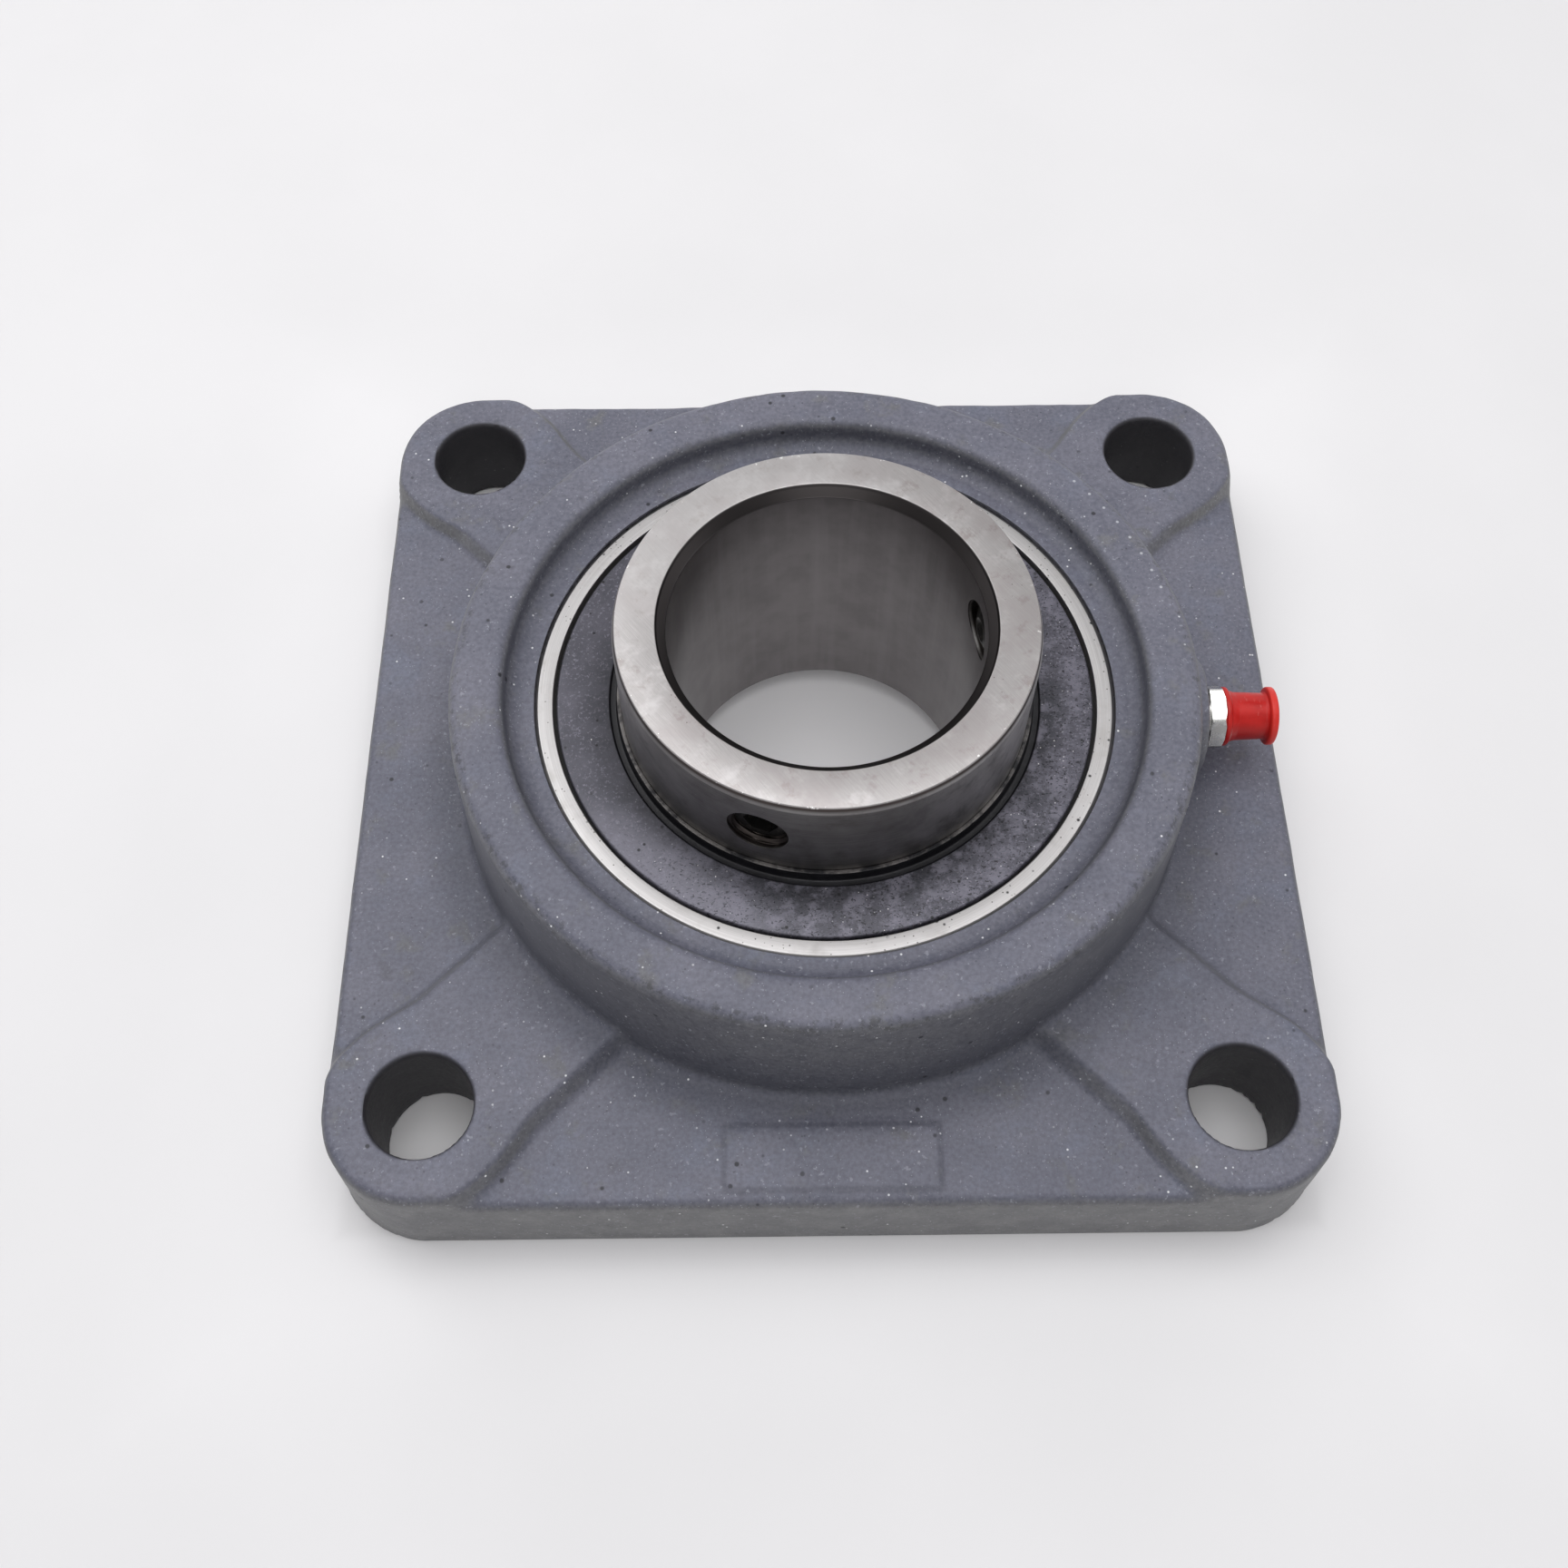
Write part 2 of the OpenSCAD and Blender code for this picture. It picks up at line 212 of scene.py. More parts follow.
def boolean(obj, other, operation, smooth_angle=SMOOTH_ANGLE):
    """Cuts, joins or intersects obj with other, which is then removed."""
    modifier = obj.modifiers.new("cut", "BOOLEAN")
    modifier.operation = operation
    modifier.solver = "EXACT"
    modifier.object = other
    apply_modifiers(obj)
    bpy.data.objects.remove(other)
    shade(obj, smooth_angle)


def apply_modifiers(obj):
    """Replaces the mesh with what its modifiers make of it."""
    view = bpy.context.evaluated_depsgraph_get()
    mesh = bpy.data.meshes.new_from_object(obj.evaluated_get(view))
    obj.modifiers.clear()
    obj.data = mesh


def place(obj, matrix):
    """Moves an object's points, so that the object itself stays at the origin."""
    obj.data.transform(matrix)


def finish_piece(obj, node, body, material):
    """The piece stands for a CAD node and rides on its body."""
    obj.data.materials.clear()
    obj.data.materials.append(material)
    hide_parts(node)
    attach(obj, body)


# -------------------- housing

def round_max(a, b, radius):
    """Where both fields are inside, with the edge between them rounded."""
    u = np.maximum(a + radius, 0)
    v = np.maximum(b + radius, 0)
    return np.minimum(-radius, np.maximum(a, b)) + np.sqrt(u * u + v * v)


def round_min(a, b, radius):
    """Where either field is inside, with a fillet between them."""
    return -round_max(-a, -b, radius)


def rounded_rectangle(x, y, half_x, half_y, radius):
    """Distance from a rectangle with round corners, negative inside it."""
    qx = np.abs(x) - half_x + radius
    qy = np.abs(y) - half_y + radius
    outside = np.hypot(np.maximum(qx, 0), np.maximum(qy, 0))
    return np.minimum(np.maximum(qx, qy), 0) + outside - radius


def soft_step(t):
    """Goes smoothly from 0 to 1 as t does."""
    t = np.clip(t, 0, 1)
    return t * t * (3 - 2 * t)


def from_bolt(x, y):
    """Distance from the axis of the nearest bolt hole."""
    return np.hypot(np.abs(x) - BOLT_AT, np.abs(y) - BOLT_AT)


def flange_field(x, y, z):
    """The square plate with its ribs, bolt pads and tablet."""
    diagonal = (np.abs(x) - np.abs(y)) / math.sqrt(2)
    raised = round_min(np.abs(diagonal) - RIB_HALF, from_bolt(x, y) - CORNER_R + 0.6, 3)
    tablet = rounded_rectangle(x, y - TABLET_Y, TABLET_HALF_X, TABLET_HALF_Y, 1.8)
    top = PLATE_TOP + (PAD_TOP - PLATE_TOP) * soft_step(0.5 - raised / RIB_SLOPE)
    top = top + TABLET_TALL * soft_step(0.5 - tablet / TABLET_SLOPE)
    outline = rounded_rectangle(x, y, HALF_SIDE, HALF_SIDE, CORNER_R) + DRAFT * z
    return round_max(outline, z - top, 1.8)


def cavity_field(x, rho, z):
    """The seat, the rear recess, the loading slots and the grease groove."""
    height = z - SPHERE_Z
    from_centre = np.sqrt(rho * rho + height * height)
    seat = np.maximum(from_centre - SEAT_R, np.abs(height) - RECESS_FLOOR - 0.5)
    back = np.maximum(rho - RECESS_R, height + RECESS_FLOOR)
    slots = np.maximum(np.maximum(rho - SLOT_R, np.abs(x) - SLOT_HALF), height)
    groove = np.maximum(rho - GREASE_GROOVE_R, np.abs(z - GREASE_GROOVE_Z) - GREASE_GROOVE_HALF)
    return np.minimum(np.minimum(seat, back), np.minimum(slots, groove))


def casting(x, y, z):
    """The housing as a field of distance, in millimetres, negative inside the metal."""
    rho = np.hypot(x, y)
    hub = round_max(rho - HUB_R - DRAFT * (HUB_TOP - z), z - HUB_TOP, 2.2)
    solid = round_min(flange_field(x, y, z), hub, 1.6)
    from_nipple = np.hypot(y, z - NIPPLE_Z)
    boss = np.maximum(round_max(from_nipple - BOSS_R, x - BOSS_X, 1.4), SEAT_R - x)
    solid = round_min(solid, boss, 1.0)
    solid = round_max(solid, -z, 0.5)
    recess = round_max(rho - RECESS_R, RECESS_FLOOR - (z - SPHERE_Z), 2.7)
    solid = round_max(solid, -recess, 2)
    solid = round_max(solid, -cavity_field(x, rho, z), 0.4)
    bolt_edge = 0.15 + 0.65 * soft_step((z - 4) / 5)
    solid = round_max(solid, BOLT_HOLE_R - from_bolt(x, y), bolt_edge)
    flare = np.clip(x - BOSS_X + 0.9, 0, 0.9)
    nipple_hole = np.maximum(from_nipple - NIPPLE_HOLE_R - flare, NIPPLE_HOLE_END - x)
    return round_max(solid, -nipple_hole, 0.2)


def lumps(p):
    """Slow unevenness of a sand casting, about -1 to 1, at points in millimetres."""
    x, y, z = p.T
    total = np.zeros(len(p))
    for scale, weight in ((0.19, 0.5), (0.37, 0.3), (0.83, 0.2)):
        a = np.sin(scale * (x + 0.7 * y) + 1.3) * np.sin(scale * (y - 0.6 * z) + 0.4)
        b = np.sin(scale * 1.31 * (x - 0.8 * y + 0.5 * z) + 2.1)
        total += weight * (a + b) / 1.5
    return total


def housing_mesh(spacing=0.93):
    """Meshes the casting's field, then moves each point exactly onto its surface."""
    margin = 3 * spacing
    low = np.array(HOUSING_LOW) - margin
    count = np.ceil((np.array(HOUSING_HIGH) + margin - low) / spacing).astype(int)
    axes = [low[i] + spacing * np.arange(count[i]) for i in range(3)]
    x, y, z = np.meshgrid(*axes, indexing="ij", sparse=True)
    values = casting(x, y, z).astype(np.float32)
    grid = openvdb.FloatGrid(float(margin))
    grid.copyFromArray(np.clip(values, -margin, margin))
    points, triangles, quads = grid.convertToPolygons(isovalue=0.0, adaptivity=0.0)
    points = points.astype(float) * spacing + low
    for _ in range(4):
        value, slope = field_and_slope(points)
        points -= slope * (value / np.maximum((slope ** 2).sum(1), 1e-6))[:, None]
    return sand_cast(points), [tuple(f) for f in triangles.tolist() + quads.tolist()]


def sand_cast(points, depth=0.12):
    """Sets the cast faces in unevenly, and leaves the machined faces and the outline."""
    x, y, z = points.T
    rough = soft_step((np.hypot(x, y) - RECESS_R - 0.3) / 2) * soft_step((z - 0.6) / 2)
    rough *= soft_step((from_bolt(x, y) - BOLT_HOLE_R) / 1.5)
    rough *= soft_step((HALF_SIDE - 0.3 - np.abs(x)) / 0.6)
    rough *= soft_step((HALF_SIDE - 0.3 - np.abs(y)) / 0.6)
    _, slope = field_and_slope(points)
    slope /= np.linalg.norm(slope, axis=1)[:, None]
    return points + slope * (rough * (depth * lumps(points) - depth))[:, None]


def field_and_slope(points, reach=0.02):
    """The casting's field and its slope at each point."""
    slope = np.empty_like(points)
    for i in range(3):
        ahead, behind = points.copy(), points.copy()
        ahead[:, i] += reach
        behind[:, i] -= reach
        slope[:, i] = (casting(*ahead.T) - casting(*behind.T)) / (2 * reach)
    return casting(*points.T), slope


def make_housing():
    """The casting and the seat's edge, both in the same paint."""
    points, faces = housing_mesh()
    obj = make_mesh("housing_casting", points, faces, math.radians(60))
    outward(obj)
    paint = cast_paint()
    finish_piece(obj, "housing", "housing", paint)
    finish_piece(make_seat_lip(), "housing", "housing", paint)


def make_seat_lip():
    """The crisp edge where the machined seat meets the recess floor."""
    low, floor, outside = 12.0, RECESS_FLOOR, 50.9
    corners = [(48.60, low, 0), (48.31, floor - 0.05, 0.12), (48.45, floor + 0.02, 0.1),
               (50.2, floor + 0.02, 0.2), (outside, floor - 0.1, 0), (outside, low, 0)]
    outline = [(r, SPHERE_Z + z) for r, z in soft_outline(corners)]
    return lathe("housing_seat_lip", outline, 360)


# -------------------- threads

def thread_rings(radius, depth, start, end, segments=48, steps=10, fade=0.8):
    """Rings of points along +X with a helical thread, which fades out at both ends."""
    count = max(2, round((end - start) / THREAD_PITCH * steps))
    turns = np.arange(segments) / segments
    rings = []
    for i in range(count + 1):
        x = start + (end - start) * i / count
        phase = (x / THREAD_PITCH - turns) % 1
        height = np.clip(1.25 * np.abs(2 * phase - 1) - 0.12, 0, 1)
        if fade:
            height = height * min(1, (x - start) / fade + 0.05, (end - x) / fade + 0.05)
        r = radius - depth + depth * height
        rings.append(around_x(x, r, turns * 2 * math.pi))
    return rings


def plain_rings(*places, segments=48):
    """Circles of points round the X axis, one for each (x, radius)."""
    angle = np.arange(segments) * 2 * math.pi / segments
    return [around_x(x, r, angle) for x, r in places]


def around_x(x, r, angle):
    """Points at some angles round the X axis."""
    return np.stack([np.full(len(angle), x), r * np.cos(angle), r * np.sin(angle)], 1)


def skin_rings(name, rings):
    """A closed solid through rings of points, with a flat cap at each end."""
    n = len(rings[0])
    caps = [tuple(range(n)), tuple(range((len(rings) - 1) * n, len(rings) * n))[::-1]]
    faces = caps + band_faces(len(rings) - 1, len(rings), n)
    obj = make_mesh(name, np.concatenate(rings), faces)
    outward(obj)
    return obj


def screw_matrix(angle):
    """From a screw's own axis, +X, to its hole in the inner ring."""
    turn = Matrix.Rotation(math.radians(angle), 4, "Z")
    return turn @ Matrix.Translation((0, 0, SCREW_Z * MM))


def hexagon(name, across_flats, x0, x1, turn=0.0):
    """A hexagonal bar along +X, turned about its axis by some degrees."""
    angle = np.arange(6) * math.pi / 3 + math.radians(turn)
    r = across_flats / math.sqrt(3)
    return skin_rings(name, [around_x(x, r, angle) for x in (x0, x1)])


def make_set_screw(index, angle):
    """A cup-point screw with a hexagonal socket."""
    tip, end = SCREW_TIP, SCREW_TIP + SCREW_LENGTH
    thread = thread_rings(4.93, 0.5, tip + 0.9, end - 0.45)
    cup = plain_rings((tip + 1.1, 0.3), (tip, 2.0), (tip, 2.3), (tip + 0.15, 2.6))
    rings = cup + thread + plain_rings((end - 0.05, 4.1), (end, 4.0))
    screw = skin_rings(f"socket_set_screw_{index}", rings)
    boolean(screw, hexagon("socket", 5.0, end - 3.2, end + 1), "DIFFERENCE", math.radians(30))
    place(screw, screw_matrix(angle))
    node = f"set_screw_{index}"
    finish_piece(screw, node, node, black_oxide())


# -------------------- bearing insert

def make_inner_ring():
    """The long ring that holds the shaft, with its raceway and two threaded holes."""
    low, high = RING_LOW.z, RING_HIGH.z
    bend = math.degrees(math.acos((INNER_RACE_AT - INNER_R) / RACE_R))
    raceway = arc_points(INNER_RACE_AT, SPHERE_Z, RACE_R, 180 + bend, 180 - bend, 12)
    outline = soft_outline([
        (BORE_R, low + 1.6, 0.25), (BORE_R + 1.6, low, 0.25), (INNER_R - 0.9, low, 0.3),
        (INNER_R, low + 0.9, 0.3), *raceway, (INNER_R, high - 1.5, 0.35),
        (INNER_R - 0.4, high - 0.2, 0.15), (INNER_R - 0.55, high, 0.1),
        (BORE_R + 1.65, high, 0.15), (BORE_R + 1.35, high - 0.5, 0.2),
        (BORE_R, high - 1.75, 0.3)])
    ring = lathe("inner_ring_steel", outline, 320)
    for angle in SCREW_ANGLES:
        thread = thread_rings(4.99, 0.5, BORE_R + 1.1, INNER_R - 0.9, fade=0)
        inner = plain_rings((BORE_R - 3, 4.99), (BORE_R + 1, 4.99))
        outer = plain_rings((INNER_R - 0.8, 5.0), (INNER_R + 3, 5.05))
        cutter = skin_rings("hole", inner + thread + outer)
        place(cutter, screw_matrix(angle))
        boolean(ring, cutter, "DIFFERENCE", math.radians(35))
    finish_piece(ring, "inner_ring", "inner_race", inner_ring_steel())


def arc_points(centre_r, centre_z, radius, start, end, count):
    """Points of an arc in an outline, with angles in degrees from +r towards +z."""
    points = []
    for k in range(count + 1):
        a = math.radians(start + (end - start) * k / count)
        points.append((centre_r + radius * math.cos(a), centre_z + radius * math.sin(a), 0))
    return points


def make_outer_ring():
    """The ring with the spherical outside, its raceway and a groove for each seal."""
    half, sphere_half, shoulder, face_r = 12.5, 11.9, 43.2, 47.75
    edge = math.degrees(math.asin(sphere_half / OUTER_R))
    bend = math.degrees(math.acos((shoulder - OUTER_RACE_AT) / RACE_R))
    seal = [(OUTER_BORE_R, half, 0.15), (OUTER_BORE_R, 10.5, 0), (45.9, 10.5, 0),
            (45.9, 9.2, 0), (OUTER_BORE_R, 9.2, 0), (OUTER_BORE_R, 8.8, 0), (shoulder, 8.8, 0.2)]
    mirrored = [(r, -z, round_r) for r, z, round_r in reversed(seal)]
    outline = soft_outline([
        *arc_points(0, 0, OUTER_R, -edge, edge, 24), (face_r, half, 0.3), *seal,
        *arc_points(OUTER_RACE_AT, 0, RACE_R, bend, -bend, 16), *mirrored,
        (face_r, -half, 0.3)])
    ring = lathe("outer_ring_steel", outline, 360, centre=(0, 0, SPHERE_Z))
    finish_piece(ring, "outer_ring", "outer_race", outer_ring_steel())


def make_flinger(side, up):
    """Pressed shield: a collar on the inner ring, a groove, a disc and a rim turned in."""
    top, sheet, collar = 12.2, 0.7, FLINGER_COLLAR
    wall = INNER_R + sheet
    rim = FLINGER_R - 0.2
    corners = [
        (INNER_R, top - sheet, 0.3), (rim - sheet, top - sheet, 0.2),
        (rim - sheet, 10.7, 0.1), (rim, 10.7, 0.1), (rim, top, 0.4),
        (wall + 1.4, top, 0.2), (wall + 1.2, top - 0.4, 0.2),
        (wall + 0.2, top - 0.4, 0.3), (wall, top + 0.8, 0.5), (wall, collar, 0.12),
        (INNER_R + 0.02, collar, 0.12)]
    outline = [(r, SPHERE_Z + up * z) for r, z in soft_outline(corners)]
    ring = lathe(f"flinger_{side}_shield", outline, 320)
    finish_piece(ring, f"flinger_{side}", "inner_race", flinger_coat())


# -------------------- grease nipple

def make_nipple():
    """The nipple's threaded stem, hexagon and head, with its passage bored through."""
    tip = NIPPLE_TIP
    head = plain_rings(
        (65.4, 4.3), (66.4, 4.3), (66.6, 2.7), (tip - 4.7, 2.65), (tip - 4.2, 2.75),
        (tip - 3.3, 3.15), (tip - 2.8, 3.25), (tip - 1.9, 3.25), (tip - 1.4, 3.0),
        (tip - 0.2, 2.0), (tip, 1.7))
    thread = thread_rings(4.85, 0.35, 58.6, 65.3, fade=0.5)
    stem = skin_rings("grease_nipple", plain_rings((58.0, 4.2), (58.4, 4.6)) + thread + head)
    nut = hexagon("nut", HEX_AF, HEX_X, HEX_X + HEX_THICK, turn=8)
    corner = HEX_AF / math.sqrt(3)
    chamfer = skin_rings("chamfer", plain_rings(
        (HEX_X - 0.4, corner - 0.12), (HEX_X + HEX_THICK - 0.35, corner - 0.12),
        (HEX_X + HEX_THICK + 0.4, corner - 1.2)))
    boolean(nut, chamfer, "INTERSECT", math.radians(12))
    boolean(stem, nut, "UNION", math.radians(12))
    bore = skin_rings("bore", plain_rings(
        (NIPPLE_HOLE_END, 0.9), (tip - 7.1, 0.9), (tip - 7.09, 1.5), (tip - 1, 1.5),
        (tip - 0.99, 0.9), (tip + 1, 0.9)))
    boolean(stem, bore, "DIFFERENCE", math.radians(12))
    place(stem, Matrix.Translation((0, 0, NIPPLE_Z * MM)))
    finish_piece(stem, "grease_nipple_body", "housing", zinc_plate())


def make_spring():
    """The check ball's spring, which shortens as the ball lifts off its seat; the mesh is built at
    one length.
    """
    low, high = cad_box("nipple_spring")
    wire, turns, steps = 0.2, 5, 24
    coil = (high.y - low.y) / 2 - wire
    around = np.arange(10) * 2 * math.pi / 10
    rings = []
    for i in range(turns * steps + 1):
        at = i / (turns * steps)
        out = coil + wire * np.cos(around)
        x = low.x + wire + (high.x - low.x - 2 * wire) * at + wire * np.sin(around)
        spin = 2 * math.pi * turns * at
        rings.append(np.stack([x, out * math.cos(spin), NIPPLE_Z + out * math.sin(spin)], 1))
    spring = skin_rings("check_ball_spring", rings)
    finish_piece(spring, "nipple_spring", "housing",
                 plain_steel("spring_wire", (0.55, 0.54, 0.5), 0.3, 0.1))
    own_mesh(spring)


def make_cap():
    """The dust cap: a flange at each end and a waist between, hollow to the nipple's tip."""
    start, end = CAP_LOW.x, CAP_HIGH.x
    wide = (CAP_HIGH.y - CAP_LOW.y) / 2
    bore = 3.35
    deep = NIPPLE_TIP + 0.3
    corners = [
        (bore, start, 0.15), (wide, start, 0.25), (wide, start + 0.75, 0.3),
        (4.45, start + 1.15, 0.6), (4.15, start + 2.2, 1), (3.97, end - 1.9, 0.6),
        (4.2, end - 1.45, 0.3), (wide - 0.05, end - 1.2, 0.35), (wide - 0.05, end, 0.4),
        (0.6, end - 0.1, 0.2), (0, end - 0.1, 0), (0, deep, 0), (bore, deep, 0.4)]
    cap = lathe("dust_cap", soft_outline(corners), 96, axis="X", centre=(0, 0, NIPPLE_Z))
    weld_axis(cap)
    shade(cap, math.radians(40))
    finish_piece(cap, "nipple_cap", "nipple_cap", red_plastic())


# -------------------- materials

class Look:
    """One procedural material. Lengths are in millimetres of the row frame."""

    def __init__(self, name, metallic=0.0, roughness=0.5, specular=0.5):
        self.material = bpy.data.materials.new(name)
        self.material.use_nodes = True
        self.nodes = self.material.node_tree.nodes
        self.links = self.material.node_tree.links
        self.shader = self.nodes["Principled BSDF"]
        self.shader.inputs["Metallic"].default_value = metallic
        self.shader.inputs["Roughness"].default_value = roughness
        self.shader.inputs["Specular IOR Level"].default_value = specular
        coordinates = self.node("ShaderNodeTexCoord", {})
        self.place = self.vector("SCALE", coordinates["Object"], 1 / MM)
        self.upward = self.vector("DOT_PRODUCT", coordinates["Normal"], (0.0, 0.0, 1.0))
        self.x, self.y, self.z = self.node("ShaderNodeSeparateXYZ", {0: self.place})
        self.radius = self.length(self.x, self.y)

    def feed(self, value, socket):
        """A socket is linked, and a number or colour is set."""
        if isinstance(value, bpy.types.NodeSocket):
            self.links.new(value, socket)
        elif isinstance(value, tuple) and len(value) == 3 and socket.type == "RGBA":
            socket.default_value = (*value, 1)
        else:
            socket.default_value = value

    def node(self, kind, inputs, **settings):
        """The outputs of a new node, with its inputs fed by name or by number."""
        node = self.nodes.new(kind)
        for name, value in settings.items():
            setattr(node, name, value)
        for name, value in inputs.items():
            self.feed(value, node.inputs[name])
        return node.outputs

    def math(self, operation, a, b=0.0):
        return self.node("ShaderNodeMath", {0: a, 1: b}, operation=operation)[0]

    def vector(self, operation, a, b=(0.0, 0.0, 0.0)):
        inputs = {0: a, "Scale" if operation == "SCALE" else 1: b}
        outputs = self.node("ShaderNodeVectorMath", inputs, operation=operation)
        return outputs["Value" if operation in ("LENGTH", "DOT_PRODUCT") else "Vector"]

    def join(self, x, y, z):
        return self.node("ShaderNodeCombineXYZ", {0: x, 1: y, 2: z})[0]

    def length(self, a, b):
        return self.vector("LENGTH", self.join(a, b, 0.0))

    def along(self, x, y):
        """How far a point lies in a direction of the XY plane."""
        return self.vector("DOT_PRODUCT", self.place, (x, y, 0.0))

    def angle(self):
        """The angle round the Z axis, in radians."""
        return self.math("ARCTAN2", self.y, self.x)

    def beyond(self, value, limit):
        """How far value is outside minus limit to limit, and negative inside."""
        return self.math("SUBTRACT", self.math("ABSOLUTE", value), limit)

    def add(self, a, b):
        return self.math("ADD", a, b)

    def both(self, *masks):
        """The masks multiplied together."""
        product = masks[0]
        for mask in masks[1:]:
            product = self.math("MULTIPLY", product, mask)
        return product

    def either(self, a, b):
        return self.math("MAXIMUM", a, b)

    def noise(self, size, detail=2.0, rough=0.5, at=None, shift=0.0, warp=0.0):
        """Noise whose blobs are about size across. size may be three numbers."""
        sizes = size if isinstance(size, tuple) else (size,) * 3
        moved = self.vector("ADD", at or self.place, (shift, shift * 1.7, shift * 0.6))
        scaled = self.vector("MULTIPLY", moved, tuple(1 / s for s in sizes))
        return self.node("ShaderNodeTexNoise", {"Vector": scaled, "Scale": 1.0, "Detail": detail,
                                                "Roughness": rough, "Distortion": warp})["Fac"]

    def patches(self, size, low, high, detail=3, rough=0.6, shift=0.0):
        """Noise cut to 0 below low and to 1 above high, with a soft edge between."""
        return self.step(self.noise(size, detail, rough, shift=shift), low, high)

    def dots(self, spacing, shift=0.0):
        """Distance to the nearest of scattered points, 0 at a point, in spacings."""
        moved = self.vector("ADD", self.place, (shift, shift * 0.3, shift * 1.9))
        scaled = self.vector("SCALE", moved, 1 / spacing)
        return self.node("ShaderNodeTexVoronoi", {"Vector": scaled, "Scale": 1.0})["Distance"]

    def step(self, value, low, high, at_low=0.0, at_high=1.0):
        """Goes smoothly from at_low to at_high as value goes from low to high."""
        if low > high:
            low, high, at_low, at_high = high, low, at_high, at_low
        inputs = {"Value": value, "From Min": low, "From Max": high, "To Min": at_low,
                  "To Max": at_high}
        return self.node("ShaderNodeMapRange", inputs, interpolation_type="SMOOTHSTEP")["Result"]

    def radial(self, *limits):
        """A step in the distance from the Z axis."""
        return self.step(self.radius, *limits)

    def height(self, *limits):
        return self.step(self.z, *limits)

    def mix(self, amount, a, b):
        inputs = {"Factor": amount, "A": a, "B": b}
        return self.node("ShaderNodeMix", inputs, data_type="RGBA")["Result"]

    def over(self, color, mask, other, amount=1.0):
        """Lays another colour over color where mask is 1, by up to amount."""
        return self.mix(mask if amount == 1.0 else self.both(mask, amount), color, other)

    def bump(self, height, depth, strength=1.0, under=None):
        """Raises the surface by up to depth millimetres where height is 1."""
        inputs = {"Strength": strength, "Distance": depth * MM, "Height": height}
        if under is not None:
            inputs["Normal"] = under
        return self.node("ShaderNodeBump", inputs)["Normal"]

    def done(self, color, rough=None, normal=None):
        self.feed(color, self.shader.inputs["Base Color"])
        if rough is not None:
            self.feed(rough, self.shader.inputs["Roughness"])
        if normal is not None:
            self.feed(normal, self.shader.inputs["Normal"])
        return self.material


def scatter(look, color, dot, amount, spacing, size, patch, share, shift):
    """Adds dots of one colour, in patches about patch across. size is a share of spacing."""
    spots = look.step(look.dots(spacing, shift=shift), size, size * 0.5)
    where = look.patches(patch, share, share + 0.1, 2, 0.6, shift + 5)
    return look.over(color, look.both(spots, where), dot, amount)


def brushed(look, across, along, degrees):
    """Fine straight scratches that run at an angle in the XY plane."""
    c, s = math.cos(math.radians(degrees)), math.sin(math.radians(degrees))
    at = look.join(look.along(c, s), look.along(-s, c), 0.0)
    return look.noise((along, across, 1.0), 3, 0.7, at=at)


def turned(look, pitch, shift=0.0):
    """Fine lines that run round the Z axis, as a lathe or grinder leaves them."""
    at = look.join(look.radius, look.z, look.angle())
    return look.noise((pitch, pitch, 0.6), 3, 0.7, at=at, shift=shift)


# -------------------- cast paint

def cast_paint():
    """Grey-blue enamel on a sand casting, and the bare mounting face."""
    look = Look("cast_paint", roughness=0.5, specular=0.45)
    worn = look.patches(7, 0.56, 0.72, 4, 0.65, shift=31)
    smudge = look.patches((9, 6, 9), 0.62, 0.72, 4, 0.75, shift=29)
    grain = look.noise(0.7, 4, 0.62)
    facing_up = look.step(look.upward, 0.45, 0.93)
    color = look.mix(facing_up, side_paint(look), top_paint(look, worn, smudge))
    color = painted_shade(look, color)
    color = paint_grit(look, color, grain)
    color = rim_marks(look, color)
    color = bolt_hole_shade(look, color)
    color = mounting_face(look, color, smudge)
    rough = look.add(look.step(grain, 0.2, 0.8, 0.44, 0.6), look.both(worn, 0.08))
    fine = look.bump(grain, 0.06, 0.7)
    return look.done(color, rough, look.bump(look.noise(2.6, 3, 0.5, shift=3), 0.16, 0.5, fine))


def top_paint(look, worn, smudge):
    """Faces that look up: clouds of two blues, worn grey patches and dark smudges."""
    cloud = look.patches(18, 0.35, 0.68, 4, 0.6)
    color = look.mix(cloud, (0.124, 0.128, 0.171), (0.16, 0.161, 0.207))
    blue = look.patches(11, 0.5, 0.72, 4, 0.65, shift=73)
    color = look.over(color, blue, (0.15, 0.163, 0.222), 0.7)
    color = look.over(color, worn, (0.15, 0.15, 0.152), 0.7)
    return look.over(color, smudge, (0.066, 0.066, 0.078), 0.4)


def side_paint(look):
    """The hub's side has painted shade at the front and painted light at the left; the flange's
    side is grey, paler in part as painted light from the floor.
    """
    cloud = look.patches(4, 0.35, 0.7, 4, 0.7, shift=77)
    hub = look.mix(cloud, (0.104, 0.107, 0.124), (0.138, 0.141, 0.154))
    # Painted shade: the hub's side darker towards the front.
    hub = look.over(hub, look.step(look.y, -35, -60, 0.0, 0.3), (0.05, 0.051, 0.06))
    # Painted light: the hub's side paler towards the left.
    hub = look.over(hub, look.step(look.x, -20, -58, 0.0, 0.5), (0.17, 0.174, 0.2))
    mottle = look.patches((5, 5, 4), 0.36, 0.68, 5, 0.75, shift=44)
    # The flange's side is paler in part as painted light from the floor.
    flange = look.mix(mottle, (0.145, 0.146, 0.15), (0.195, 0.196, 0.196))
    return look.mix(look.radial(HUB_R + 8, HUB_R + 11), hub, flange)


